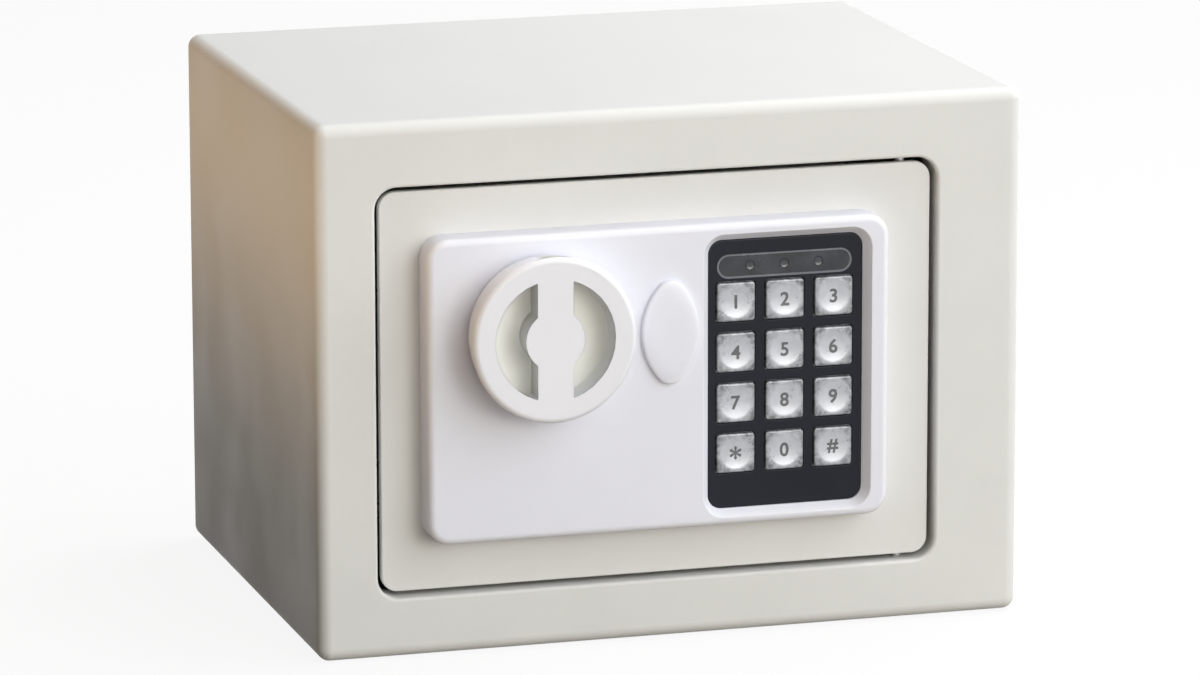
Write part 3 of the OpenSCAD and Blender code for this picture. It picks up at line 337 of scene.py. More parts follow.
def add(tree, kind, **values):
    """A node with its settings, and its inputs by name as in_NAME=value or a socket."""
    node = tree.nodes.new("ShaderNode" + kind)
    for key, value in values.items():
        if not key.startswith("in_"):
            setattr(node, key, value)
    for key, value in values.items():
        if key.startswith("in_"):
            name = key[3:].replace("_", " ")
            fill(tree, node.inputs[int(name)] if name.isdigit() else node.inputs[name], value)
    return node


def maths(tree, operation, a, b):
    """One step of arithmetic on two masks or numbers."""
    return add(tree, "Math", operation=operation, in_0=a, in_1=b).outputs[0]


def mixed(tree, mask, a, b):
    """Colour a where the mask is 0 and colour b where it is 1."""
    node = add(tree, "Mix", data_type="RGBA", in_Factor=mask)
    for index, value in ((COLOUR_A, a), (COLOUR_B, b)):
        linked = isinstance(value, bpy.types.NodeSocket)
        fill(tree, node.inputs[index], value if linked else (*value, 1.0))
    return node.outputs[COLOUR_OUT]


def ranged(tree, value, low, high, start=0.35, end=0.65):
    """Straight line that is low where the value is start and high where it is end."""
    return add(tree, "MapRange", in_Value=value, in_From_Min=start, in_From_Max=end,
               in_To_Min=low, in_To_Max=high).outputs["Result"]


def noise(tree, scale, detail, roughness):
    """Noise between about 0 and 1; a scale of 100 makes spots of about a centimetre."""
    place = add(tree, "TexCoord").outputs["Object"]
    return add(tree, "TexNoise", in_Vector=place, in_Scale=scale, in_Detail=detail,
               in_Roughness=roughness).outputs["Fac"]


def mark_of(tree, name):
    """The number that marked() stored on the piece, between its vertices too."""
    return add(tree, "Attribute", attribute_name=name).outputs["Fac"]


# %% [markdown]
# Three effects are on many finishes, and so each is a node group with named inputs: it is
# built once, and every material places it with its own values. The first is the grain. Powder
# coat has orange peel, mouldings have the faint texture of their mould, and all of them are a
# little cloudy over centimetres. The shader itself stays in each material.

# %% Surface grain


def new_group(name, inputs, outputs):
    """Empty group with number sockets; returns the group, its input node and output node."""
    group = bpy.data.node_groups.new(name, "ShaderNodeTree")
    for label, value in inputs:
        socket = group.interface.new_socket(label, in_out="INPUT", socket_type="NodeSocketFloat")
        socket.default_value = value
    for label in outputs:
        group.interface.new_socket(label, in_out="OUTPUT", socket_type="NodeSocketFloat")
    return group, group.nodes.new("NodeGroupInput"), group.nodes.new("NodeGroupOutput")


def use(tree, group, **values):
    """The group placed in a material, with this material's values."""
    node = tree.nodes.new("ShaderNodeGroup")
    node.node_tree = group
    for key, value in values.items():
        node.inputs[key.replace("_", " ")].default_value = value
    return node


grain, given, wanted = new_group("surface grain", [("Scale", 900.0), ("Cloud scale", 25.0)],
                                 ["Height", "Cloud"])
fine = noise(grain, given.outputs["Scale"], 3.0, 0.55)
slow = noise(grain, given.outputs["Cloud scale"], 4.0, 0.6)
grain.links.new(fine, wanted.inputs["Height"])
grain.links.new(slow, wanted.inputs["Cloud"])
print(grain.name, "has", len(grain.nodes), "nodes")

# %% [markdown]
# Hands and cloths rub an edge first. Geometry's Pointiness could find the edges, but it hangs
# on how finely a mesh is cut. The rows of every bend already carry a mark, so the mask is that
# mark times a patchy noise times an amount.

# %% Rubbed edge
rubbing, given, wanted = new_group("rubbed edge", [("Amount", 0.5), ("Scale", 180.0)], ["Mask"])
patches = noise(rubbing, given.outputs["Scale"], 5.0, 0.7)
worn = maths(rubbing, "MULTIPLY", mark_of(rubbing, "edge"), patches)
rubbing.links.new(maths(rubbing, "MULTIPLY", worn, given.outputs["Amount"]),
                  wanted.inputs["Mask"])
print(rubbing.name, "has", len(rubbing.nodes), "nodes")

# %% [markdown]
# Dust lies on what looks up. It could be painted on the top, but the surface's own direction
# tells how far it looks up, from 0 on a wall to 1 on a level top, on every piece alike. Fine
# noise breaks the film into specks.

# %% Settled dust
dusting, given, wanted = new_group("settled dust", [("Amount", 0.2)], ["Mask"])
normal = add(dusting, "NewGeometry").outputs["Normal"]
height = add(dusting, "SeparateXYZ", in_Vector=normal).outputs["Z"]
lying = maths(dusting, "MULTIPLY", maths(dusting, "MAXIMUM", height, 0.0),
              noise(dusting, 320.0, 6.0, 0.75))
dusting.links.new(maths(dusting, "MULTIPLY", lying, given.outputs["Amount"]),
                  wanted.inputs["Mask"])
print(dusting.name, "has", len(dusting.nodes), "nodes")

# %% [markdown]
# Every finish is the same recipe with other facts: a colour, how rough and how metallic it is,
# how deep its grain. Two dozen materials could be drawn one by one, but one function of those
# facts keeps them alike, and what is special about a finish is painted over it afterwards.

# %% A finish from its facts
finishes = {}
DUST_COLOUR = (0.62, 0.60, 0.56)
VARY = 0.06


def finish(name, colour, rough, metal=0.0, shade=0.94, grain_scale=900.0, cloud=25.0,
           height=0.02, rub=0.0, rubbed=(0.9, 0.9, 0.9), dust=0.0, coat=0.0, specular=0.5):
    """Base colour from a slow cloud between colour times shade and colour, then rubbed edges
    and dust; roughness is rough plus or minus a little with the cloud; the fine grain is a bump
    of the given height in millimetres."""
    material = bpy.data.materials.new(name)
    material.use_nodes = True
    tree = material.node_tree
    shader = tree.nodes["Principled BSDF"]
    for socket, value in (("Metallic", metal), ("Coat Weight", coat), ("Coat Roughness", 0.1),
                          ("Specular IOR Level", specular)):
        shader.inputs[socket].default_value = value
    surface = use(tree, grain, Scale=grain_scale, Cloud_scale=cloud)
    cloudy = ranged(tree, surface.outputs["Cloud"], 0.0, 1.0)
    base = mixed(tree, cloudy, [c * shade for c in colour], colour)
    if rub:
        base = mixed(tree, use(tree, rubbing, Amount=rub).outputs["Mask"], base, rubbed)
    if dust:
        base = mixed(tree, use(tree, dusting, Amount=dust).outputs["Mask"], base, DUST_COLOUR)
    tree.links.new(base, shader.inputs["Base Color"])
    tree.links.new(ranged(tree, surface.outputs["Cloud"], rough - VARY, rough + VARY),
                   shader.inputs["Roughness"])
    bump = add(tree, "Bump", in_Strength=0.6, in_Distance=height * MM,
               in_Height=surface.outputs["Height"])
    tree.links.new(bump.outputs["Normal"], shader.inputs["Normal"])
    finishes[name] = material
    return tree, shader


def painted_over(tree, shader, mask, colour):
    """The base colour so far where the mask is 0, and the new colour where it is 1."""
    so_far = shader.inputs["Base Color"].links[0].from_socket
    tree.links.new(mixed(tree, mask, so_far, colour), shader.inputs["Base Color"])


# %% [markdown]
# Powder coat is white with a faint orange peel, a little paler where it is rubbed on a bend.
# A plain grey-white with a strong lamp would look the same from in front, but under a plain
# light a colour renders about as it is written, so the white itself is set and the lamps stay
# low.

# %% Powder coat on the case and the door
for name, white in (("case_paint", (0.745, 0.750, 0.735)), ("door_paint", (0.745, 0.745, 0.730))):
    finish(name, white, 0.48, specular=0.12, shade=0.965, grain_scale=420, height=0.022,
           rub=0.35, rubbed=(0.80, 0.80, 0.78), dust=0.10)
print(list(finishes))

# %% [markdown]
# The mouldings are a cooler white than the paint, with a finer grain. The bezel is blue-black,
# and its edges wear to grey. They could share one plastic with a tint, but each wears its own
# way, so each is a finish of its own.

# %% Plastics and rubber
finish("panel_plastic", (0.790, 0.800, 0.875), 0.38, shade=0.975, grain_scale=1400,
       height=0.008, rub=0.6, rubbed=(0.94, 0.94, 0.95), dust=0.05, specular=0.35)
finish("bezel_plastic", (0.009, 0.011, 0.018), 0.42, shade=0.8, grain_scale=1600, height=0.008,
       rub=0.5, rubbed=(0.07, 0.075, 0.09), dust=0.03, specular=0.16)
finish("black_plastic", (0.024, 0.024, 0.026), 0.45, shade=0.8, grain_scale=1500, height=0.015,
       rub=0.4, rubbed=(0.08, 0.08, 0.08), dust=0.08)
finish("red_plastic", (0.45, 0.02, 0.02), 0.38, shade=0.85, grain_scale=1500, height=0.01)
finish("grey_rubber", (0.16, 0.165, 0.17), 0.75, shade=0.85, grain_scale=1200, height=0.02)
print(len(finishes), "finishes")

# %% [markdown]
# The steel inside is zinc plated or bare, and the lock is chrome and brass. A metal has no
# colour of its own beneath its reflection, so each is fully metallic, and how rough it is
# tells bright from dull. Stampings are rubbed at their edges; small turned parts aren't.

# %% Metals
RUBBED, UNTOUCHED = 0.4, 0.0
for name, colour, rough, shade, grain_scale, height, rub in (
        ("bare_steel", (0.46, 0.45, 0.44), 0.38, 0.8, 700, 0.012, RUBBED),
        ("bright_steel", (0.50, 0.50, 0.51), 0.26, 0.85, 900, 0.006, RUBBED),
        ("zinc_plate", (0.62, 0.60, 0.50), 0.34, 0.78, 600, 0.010, RUBBED),
        ("screw_steel", (0.50, 0.50, 0.52), 0.28, 0.8, 900, 0.008, UNTOUCHED),
        ("lock_chrome", (0.70, 0.70, 0.71), 0.16, 0.9, 900, 0.004, UNTOUCHED),
        ("lock_brass", (0.60, 0.44, 0.18), 0.26, 0.8, 900, 0.006, UNTOUCHED),
        ("spring_steel", (0.42, 0.42, 0.43), 0.30, 0.8, 900, 0.006, UNTOUCHED)):
    finish(name, colour, rough, metal=1.0, shade=shade, grain_scale=grain_scale, height=height,
           rub=rub)
print(len(finishes), "finishes")

# %% [markdown]
# The electronics hide behind the inner cover: a green board under lacquer, a taped coil, cells
# in a dark jacket, red and black leads and three lamps. The clear lacquer and the lamps' skin
# could be thin shells of their own, but a coat over the colour gives the same gloss.

# %% Board, coil, cells, leads and lamps
finish("board_laminate", (0.015, 0.10, 0.045), 0.40, shade=0.7, grain_scale=800, height=0.01,
       coat=0.3)
finish("coil_tape", (0.42, 0.16, 0.03), 0.40, shade=0.8, grain_scale=500, height=0.03)
finish("cell_jacket", (0.05, 0.06, 0.09), 0.30, shade=0.7, grain_scale=700, height=0.006)
finish("lead_red", (0.42, 0.015, 0.015), 0.42, shade=0.85)
finish("lead_black", (0.02, 0.02, 0.02), 0.45, shade=0.7)
finish("lamp_lens", (0.30, 0.42, 0.28), 0.20, shade=0.9, coat=0.4)
print(len(finishes), "finishes")

# %% [markdown]
# The knob's recess floors are tinted paler, warmer and a little green: painted light for the light
# that the thick moulding lets through there. The walls beside the bar and the hub are painted
# darker: painted shade down in the recesses. Both could be separate materials, but then the border
# would be a hard line. The knob carries a mark for each instead, and the material tints by it.

# %% Knob plastic
tree, shader = finish("knob_plastic", (0.830, 0.840, 0.890), 0.36, shade=0.98, grain_scale=1400,
                      height=0.008, rub=0.3, rubbed=(0.90, 0.90, 0.90), dust=0.06)
# painted light: the recess floors are tinted paler and warmer for light that comes through the
# moulding
painted_over(tree, shader, mark_of(tree, "floor"), (0.885, 0.895, 0.850))
# painted shade: the walls of the bar and the hub in the recesses are painted darker
painted_over(tree, shader, mark_of(tree, "recess_wall_shade"), (0.46, 0.46, 0.42))
print("knob plastic has", len(tree.nodes), "nodes")

# %% [markdown]
# A key is silver paint over plastic. The round dish is bright, and the corners outside it are
# darker and speckled. The piece's own UV map measures from the key's middle, so one material
# does for all twelve keys. The signs are printed in a nearly black ink.

# %% Silver keys
DISH_EDGE, CORNER_START = 0.37, 0.54
tree, shader = finish("key_silver", (0.50, 0.515, 0.555), 0.32, 0.35, shade=0.9,
                      grain_scale=1500, cloud=260, height=0.01)
uv = add(tree, "UVMap", uv_map="face").outputs["UV"]
away = add(tree, "VectorMath", operation="DISTANCE", in_0=uv, in_1=(0.5, 0.5, 0.0))
outside = ranged(tree, away.outputs["Value"], 0.0, 1.0, DISH_EDGE, CORNER_START)
speckle = ranged(tree, noise(tree, 520.0, 3.0, 0.6), 0.0, 1.0, 0.38, 0.62)
painted_over(tree, shader, outside,
             mixed(tree, speckle, (0.13, 0.135, 0.15), (0.33, 0.34, 0.36)))
finish("key_print", (0.12, 0.12, 0.13), 0.5, shade=0.7, grain_scale=1500, height=0.004)
print("silver has", len(tree.nodes), "nodes")

# %% [markdown]
# The indicator window is smoked plastic; its rim is painted paler as a painted highlight, and the
# dimples get fainter painted highlights. Real smoked plastic lets a little light through, but
# nothing is lit behind it here, so a dark gloss looks the same and renders clean. The rim's rows
# carry the edge mark, and the material paints the highlight by it.

# %% Smoked window
tree, shader = finish("smoked_window", (0.012, 0.014, 0.022), 0.24, shade=0.6, grain_scale=900,
                      cloud=160, height=0.003, coat=0.3)
# painted highlight: paler where the edge mark is, on the rim and faintly in the dimples
painted_over(tree, shader, mark_of(tree, "edge"), (0.15, 0.16, 0.18))
print("window has", len(tree.nodes), "nodes")

# %% [markdown]
# ## Steel body
# Every finished piece does three things: it rides on the body that its node belongs to, it
# stands for that node, and it takes the finish of that node's slot. Each could be written out
# for each piece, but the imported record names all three, so the node's name is enough.

# %% Settle a finished piece on its body
slot_of = {part["node"]: part["material_slot"] for part in frame["record"]["subparts"]}
body_of = {node: body for body, members in frame["record"]["behaviour"]["bodies"].items()
           for node in members}


def settle(piece, node):
    """The piece rides on the node's body, stands for the node and takes its slot's finish."""
    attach(piece, body_of[node])
    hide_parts(node)
    if not piece.data.materials:
        piece.data.materials.append(finishes[slot_of[node]])
    return piece


print(len(set(slot_of.values())), "slots for", len(slot_of), "nodes")

# %% [markdown]
# The front frame is one pressing: a rounded front edge, the door opening with its bent return,
# and an outer skirt that meets the wrap. It could be a box with a hole cut in it, but a
# pressing has the same sheet everywhere. One profile runs all the way round, from the outer
# skirt over the face, into the opening and back inside the sheet.

# %% Front frame
SHEET, CASE_RADIUS, OPENING_RADIUS = 1.5, 4.0, 7.0
LOCK_FLANGE, HINGE_FLANGE, LOW_FLANGE, TOP_FLANGE = 19.0, 28.0, 19.0, 20.5
low, high = span("front_frame")
wall = rounded(low[0], high[0], low[2], high[2], CASE_RADIUS)
lock_edge = low[0] + LOCK_FLANGE
opening = rounded(lock_edge, high[0] - HINGE_FLANGE, low[2] + LOW_FLANGE,
                  high[2] - TOP_FLANGE, OPENING_RADIUS)
front, skirt, jamb = low[1], -70.0, -73.0
skin = Skin()
skin.sweep(
    (wall, np.concatenate([plain((0, skirt)), bend(CASE_RADIUS, 0, front, steps=8)])),
    (opening, np.concatenate([bend(1.0, 0, front, hole=True)[::-1], plain((0, jamb))])),
    (opening, plain((-SHEET, jamb), (-SHEET, front + SHEET))),
    (wall, plain((SHEET, front + SHEET), (SHEET, skirt))), loop=True)

# %% [markdown]
# On the lock side the opening's return is longer, because the two bolts enter it. That strike
# could be a separate plate, but on the real pressing it is a flat tab with two round holes,
# rounded at its far corners, so it goes into the same skin.

# %% Strike on the lock side
STRIKE_END, STRIKE_LOW, STRIKE_TOP, STRIKE_RADIUS = -53.0, 38.0, 134.0, 3.0
BOLT_Y, BOLTS_Z, BOLT_HOLE = -65.5, (52, 120), 7.8
strike = arcs((STRIKE_END - STRIKE_RADIUS, STRIKE_LOW + STRIKE_RADIUS, STRIKE_RADIUS, -90, 0),
              (STRIKE_END - STRIKE_RADIUS, STRIKE_TOP - STRIKE_RADIUS, STRIKE_RADIUS, 0, 90),
              (jamb + SHARP, STRIKE_TOP - SHARP, SHARP, 90, 180),
              (jamb + SHARP, STRIKE_LOW + SHARP, SHARP, 180, 270))
skin.plate(strike, [circle(BOLT_Y, z, BOLT_HOLE) for z in BOLTS_Z],
           lock_edge - SHEET, lock_edge, at=sideways)
settle(skin.weld("pressed_front_frame"), "front_frame")

# %% [markdown]
# The wrap is one sheet folded round the top, both sides and the bottom, with two anchor holes
# in its bottom. Its tube is a band between rows, but a band can't have holes, so the strip that
# makes the flat bottom is left out and a pierced face takes its place. First come the rows.

# %% Body wrap: the folded tube
low, high = span("body_wrap")
tube = rounded(low[0], high[0], low[2], high[2], CASE_RADIUS)
back_rows = np.concatenate([bend(0.4, 0, high[1], back=True)[:-1],
                            bend(0.4, SHEET, high[1], hole=True, back=True)[:-1][::-1]])
rows = back_rows[[0, -1]]
skin = Skin()
skin.sweep((tube, np.concatenate([plain((0, low[1])), rows[:1]])), around=False)
skin.sweep((tube, np.concatenate([rows[1:], plain((SHEET, low[1]))])), around=False)
skin.sweep((tube, back_rows))
skin.sweep((tube, plain((SHEET, low[1]), (0, low[1]))))

# %% [markdown]
# A drilled hole in sheet has a small rounded lip on both sides. Each is swept through the
# sheet's thickness, and the bottom's two faces are filled round the lips.

# %% Body wrap: the pierced bottom
ANCHORS, ANCHOR_HOLE = (-55, 55), 5.0
lip_rows = np.concatenate([bend(0.3, 0, 0.0, hole=True)[::-1],
                           bend(0.3, 0, SHEET, hole=True, back=True)])
rims = [skin.sweep((circle(x, 0, ANCHOR_HOLE, 32), lip_rows), at=level) for x in ANCHORS]
flat_end, back_end = high[0] - CASE_RADIUS, rows[0][1]
for z, ring in ((0.0, 0), (SHEET, -1)):
    corners = np.array([[-flat_end, low[1], z], [flat_end, low[1], z],
                        [flat_end, back_end, z], [-flat_end, back_end, z]])
    skin.face(corners, *[rim[ring] for rim in rims])
settle(skin.weld("folded_body_wrap"), "body_wrap")

# %% [markdown]
# The back panel is a flat sheet that closes the wrap, drilled for the second pair of anchors
# at half the box's height. The door plate is a flat sheet too. Both could be thin cubes, but a
# cut edge is never knife sharp: it catches a fine line of light, so plate() gives every edge a
# small round.

# %% Back panel and door plate
ANCHOR_HEIGHT = 85
low, high = span("back_panel")
skin = Skin()
skin.plate(rounded(low[0], high[0], low[2], high[2], 2.5),
           [circle(x, ANCHOR_HEIGHT, ANCHOR_HOLE) for x in ANCHORS], low[1], high[1])
settle(skin.weld("drilled_back_panel"), "back_panel")
low, high = span("door_plate")
skin = Skin()
skin.plate(rounded(low[0], high[0], low[2], high[2], 5.2), [], low[1], high[1], edge=0.5)
settle(skin.weld("painted_door_plate"), "door_plate")

# %% [markdown]
# The mat is dark needle felt, cut 3 mm smaller than the floor, with two holes over the anchors.
# A thick felt lies flat by itself, so no cloth simulation is needed. Loose fibres at its surface
# catch light at a low angle, which the shader's sheen does.

# %% Felt mat
MAT_HOLE = 6.5
tree, shader = finish("felt", (0.055, 0.058, 0.064), 0.95, shade=0.6, grain_scale=2600,
                      cloud=120, height=0.35)
shader.inputs["Sheen Weight"].default_value = 0.35
shader.inputs["Sheen Roughness"].default_value = 0.5
low, high = span("floor_mat")
skin = Skin()
skin.plate(rounded(low[0], high[0], low[1], high[1], 2.0),
           [circle(x, 0, MAT_HOLE, 32) for x in ANCHORS], low[2], high[2], edge=0.6, at=level)
mat = settle(skin.weld("felt_floor_mat"), "floor_mat")

# %% [markdown]
# ## Front panel
# The panel is a thin moulding, open at the back. Its front edge has a 2.2 mm radius. The
# keypad's well slopes down to the bezel, and round ports let the knob and the lock through. A
# solid block with pockets would look alike from in front, but a moulding has one wall
# thickness, so the outside and the inside are both swept, and the faces are filled between.

# %% Panel: outside, well and inside
WALL, EDGE_RADIUS = 2.0, 2.2
PAD_AT, PAD_HALF, PAD_RADIUS, WELL_GAP = (35.2, 84.8), (25.3, 43.0), 4.5, 0.1
low, high = span("front_panel")
panel_front, panel_back = low[1], high[1]
bezel_front, bezel_back = panel_front + 3.0, panel_front + 4.2


def pad(gap):
    """Outline of the keypad's plate, made wider by a gap on every side."""
    (x, z), (dx, dz) = PAD_AT, PAD_HALF
    return rounded(x - dx - gap, x + dx + gap, z - dz - gap, z + dz + gap, PAD_RADIUS)


outer = rounded(low[0], high[0], low[2], high[2], 7.0, steps=10)
lip = np.array([[-2.45, panel_front, 0], [-2.35, panel_front, 0.5],
                [-2.22, panel_front + 0.08, 1]])
slope = np.array([[-2.1, panel_front + 0.25, 1], [-1.05, panel_front + 1.6, 0],
                  [0, bezel_front, 0], [0, bezel_back, 0], [-2.5, bezel_back, 0],
                  [-2.5, panel_front + WALL, 0]])
skin = Skin()
outside = skin.sweep((outer, np.concatenate([plain((0, panel_back)),
                                             bend(EDGE_RADIUS, 0, panel_front, steps=8)])))
well = skin.sweep((pad(WELL_GAP), np.concatenate([lip, slope])))
inside = skin.sweep((outer, plain((WALL, panel_front + WALL), (WALL, panel_back),
                                  (0, panel_back))))

# %% Panel: ports, faces and screw bosses
KNOB_AT, LOCK_AT = (-44.6, 103.2), (-3.6, 100.4)
BOSS_OUT, BOSS_IN = 3.5, 1.55
port_rows = np.concatenate([bend(0.4, 0, panel_front, hole=True)[::-1],
                            plain((0, panel_front + WALL))])
ports = [skin.sweep((circle(x, z, r), port_rows))
         for (x, z), r in ((KNOB_AT, 10.6), (LOCK_AT, 8.5))]
skin.face(outside[-1], well[0], *[port[0] for port in ports])
skin.face(inside[0], well[-1], *[port[-1] for port in ports])
for x in (low[0] + 8.5, low[0] + 82):
    for z in (low[2] + 9, high[2] - 8.5):
        skin.turned(x, z, [(BOSS_OUT, panel_front + WALL), (BOSS_OUT, panel_back),
                           (BOSS_IN, panel_back), (BOSS_IN, panel_front + WALL)], 24)
settle(skin.weld("moulded_front_panel"), "front_panel")

# %% [markdown]
# ## Bolt knob
# A thumb and a finger reach into two half-round recesses and turn the bar between them. The
# recesses could be cut out with a Boolean, but then their mouths have no round. The outline of
# a recess is a chain of arcs instead: the large circle, small fillets at the bar, and the
# hollow arc round the knob's middle.

# %% Outline of a finger recess
BAR_HALF, HUB = 5.0, 8.75


def recess(side, big=20.0, top=1.0, neck=0.8):
    """Half-round recess about the knob's axis, right for side 1 and left for side -1. A fillet
    touches the bar, so its centre is bar plus radius out, and as high as Pythagoras gives for
    a circle that it touches from inside (big less top) or outside (hub plus neck)."""
    zt = math.sqrt((big - top) ** 2 - (BAR_HALF + top) ** 2)
    zn = math.sqrt((HUB + neck) ** 2 - (BAR_HALF + neck) ** 2)
    a = math.degrees(math.atan2(zt, BAR_HALF + top))
    b = math.degrees(math.atan2(zn, BAR_HALF + neck))
    chain = [(0, 0, big, -a, a), (BAR_HALF + top, zt, top, a, 180),
             (BAR_HALF + neck, zn, neck, 180, 180 + b), (0, 0, -HUB, b, -b),
             (BAR_HALF + neck, -zn, neck, 180 - b, 180),
             (BAR_HALF + top, -zt, top, 180, 360 - a)]
    x, z = KNOB_AT
    if side < 0:
        chain = [(-cx, -cz, r, s + 180, e + 180) for cx, cz, r, s, e in chain]
    return arcs(*[(x + cx, z + cz, r, s, e) for cx, cz, r, s, e in chain], steps=14)


print("a recess has", len(recess(1)()), "points")

# %% [markdown]
# The knob is one moulding: a ring whose wall leans in a little towards the panel, a shank that
# goes through the panel's port, and a bore for the spindle. One profile makes all of it, from
# the bottom of the bore, out over the shank and the ring's back, and round the front edge.

# %% Knob
KNOB_RADIUS, SHANK, BORE, TAPER = 26.25, 10.0, 4.05, 2.1
RECESS_DEPTH, BORE_START = 11.0, 4.0
low, high = span("knob")
front, base, shank_end = low[1], panel_front - 0.3, high[1]
floor_y = front + RECESS_DEPTH
bore, shank = KNOB_RADIUS - BORE, KNOB_RADIUS - SHANK
skin = Skin()
ring = skin.sweep((circle(*KNOB_AT, KNOB_RADIUS, 96), np.concatenate([
    plain((KNOB_RADIUS - 0.05, front + BORE_START), (bore, front + BORE_START),
          (bore, shank_end), (shank, shank_end), (shank, base), (TAPER + 0.4, base),
          (TAPER, base - 0.4)),
    bend(1.8, 0, front, steps=8)])))
skin.face(ring[0])
mouths = []
for side in (1, -1):
    walls = skin.sweep((recess(side), np.concatenate([
        bend(0.7, 0, front, hole=True, steps=6)[::-1],
        bend(0.6, 0, floor_y, back=True, steps=4)])))
    skin.face(walls[-1])
    mouths.append(walls[0])
skin.face(ring[-1], *mouths)
knob = settle(skin.weld("finger_knob"), "knob")

# %% [markdown]
# The two marks for the material are worked out from where a vertex is: the floor, which gets the
# painted light, is what lies at the recess's depth outside the hub, and the painted shade is on
# the walls of the bar and the hub between the rounded mouth and the floor.

# %% Marks on the knob
x, y, z = places(knob.data).T / MM
away = np.hypot(x - KNOB_AT[0], z - KNOB_AT[1])
# painted light mask: the recess floors outside the hub
floor_light_mark = np.clip(y - floor_y + 1.0, 0, 1) * (away > HUB - 0.05) * (y < floor_y + 0.1)
# painted shade mask: the walls of the bar and the hub, between the rounded mouth and the floor
bar_and_hub_walls = (np.abs(x - KNOB_AT[0]) < BAR_HALF + 0.1) | (away < HUB + 0.1)
recess_wall_shade = bar_and_hub_walls * (y > front + 0.8) * (y < floor_y - 0.4)
marked(knob.data, "floor", floor_light_mark)
marked(knob.data, "recess_wall_shade", recess_wall_shade)
print("floor vertices", int((floor_light_mark > 0).sum()), "shaded vertices", int(recess_wall_shade.sum()))

# %% [markdown]
# ## Oval cover
# The cover is a shallow dome whose outline is two long arcs between two small ones. A scaled
# sphere would be an ellipse with too pointed ends. The long radius follows from the width, the
# height and the tip's radius, because a long arc and a tip touch where they meet.

# %% Outline of the oval cover
TIP = 5.0
low, high = span("oval_cover")
front = low[1]
half_width, end_z = (high[0] - low[0]) / 2, (high[2] - low[2]) / 2 - TIP
long_radius = (half_width ** 2 + end_z ** 2 - TIP ** 2) / (2 * (half_width - TIP))
lean = math.degrees(math.atan2(end_z, long_radius - half_width))
x, z = LOCK_AT
off = half_width - long_radius
oval = arcs((x + off, z, long_radius, -lean, lean), (x, z + end_z, TIP, lean, 180 - lean),
            (x - off, z, long_radius, 180 - lean, 180 + lean),
            (x, z - end_z, TIP, 180 + lean, 360 - lean), steps=16)
print("long radius", round(long_radius, 2), "mm")

# %% [markdown]
# The dome is a table of rows: an upright rim, a quick round and a crown that flattens out. A
# formula for a dome would spread the curve evenly, but on the real cover most of it is near
# the rim. A plug behind it holds it in the panel's port.

# %% Oval cover
PLUG_OUT, PLUG_IN = 8.2, 6.7
dome = np.array([[0, panel_front, 0], [0, front + 1.3, 0], [0.12, front + 0.9, 0.7],
                 [0.45, front + 0.58, 1], [1.0, front + 0.40, 0.6], [2.0, front + 0.22, 0],
                 [3.2, front + 0.08, 0], [4.3, front + 0.01, 0], [4.6, front, 0]])
skin = Skin()
rows = skin.sweep((oval, dome))
skin.face(rows[0])
skin.face(rows[-1])
skin.turned(x, z, [(PLUG_OUT, panel_front - 0.4), (PLUG_OUT, panel_front + 2),
                   (PLUG_IN, panel_front + 2), (PLUG_IN, panel_front - 0.4)])
settle(skin.weld("oval_lock_cover"), "oval_cover")

# %% [markdown]
# ## Keypad
# The bezel is a thin blue-black plate with twelve square windows for the keys and a long one
# for the indicator. Its holes all have the same soft edge. A pocket behind it takes the keys'
# ledges, and four pins locate it. The windows are a grid of places, so a list of outlines does
# what an Array modifier with a Boolean would do.

# %% Bezel
KEYS_AT, KEY_PITCH = (34.9, 83.7), (16.05, 16.17)
WINDOW_AT, WINDOW_SIZE, WINDOW_GAP = (34.9, 119.2), (44.9, 8.3), 0.2
KEY_HOLE, FIELD_HALF, FIELD_LOW, FIELD_TOP = 6.5, 23.75, 46.1, 123.65
key_x = KEYS_AT[0] + KEY_PITCH[0] * np.array([-1, 0, 1])
key_z = KEYS_AT[1] + KEY_PITCH[1] * np.array([1.5, 0.5, -0.5, -1.5])


def square(x, z, half, radius):
    """Rounded square about a key's middle."""
    return rounded(x - half, x + half, z - half, z + half, radius, 4)


def pierced(outline, edge):
    """Walls of a hole through the plate, with a soft front edge."""
    return skin.sweep((outline, np.concatenate([bend(edge, 0, bezel_front, hole=True)[::-1],
                                                plain((0, bezel_back))])))


skin = Skin()
around = skin.sweep((pad(0), np.concatenate([
    plain((-1.7, bezel_back + 1), (-1.7, bezel_back), (0, bezel_back)),
    bend(0.5, 0, bezel_front)])))
key_holes = [pierced(square(x, z, KEY_HOLE, 1.2), 0.35) for z in key_z for x in key_x]
slit = pierced(pill(*WINDOW_AT, WINDOW_SIZE[0] + WINDOW_GAP, WINDOW_SIZE[1] + WINDOW_GAP), 0.3)
field = rounded(KEYS_AT[0] - FIELD_HALF, KEYS_AT[0] + FIELD_HALF, FIELD_LOW, FIELD_TOP, 0.3)
pocket = skin.sweep((field, plain((0, bezel_back), (0, bezel_back + 1))))
skin.face(around[-1], slit[0], *[hole[0] for hole in key_holes])
skin.face(pocket[0], slit[-1], *[hole[-1] for hole in key_holes])
skin.face(around[0], pocket[-1])

# %% Bezel: locating pins
PIN_OUT, PIN_IN, PIN_X, PIN_Z = 1.4, 0.9, 24.3, 40
pin_end = span("keypad_bezel")[1][1]
for x in (PAD_AT[0] - PIN_X, PAD_AT[0] + PIN_X):
    for z in (PAD_AT[1] - PIN_Z, PAD_AT[1] + PIN_Z):
        skin.turned(x, z, [(PIN_OUT, bezel_back + 0.5), (PIN_OUT, pin_end),
                           (PIN_IN, pin_end), (PIN_IN, bezel_back + 0.5)], 20)
settle(skin.weld("keypad_plate"), "keypad_bezel")

# %% [markdown]
# The indicator window is a pill with a raised rim and three shallow dimples in front of the
# lamps. The dimples could be a bump in the material, but the exported mesh keeps only what is
# real shape. A row of mark 0 round each keeps the rim's tint off the face between them.

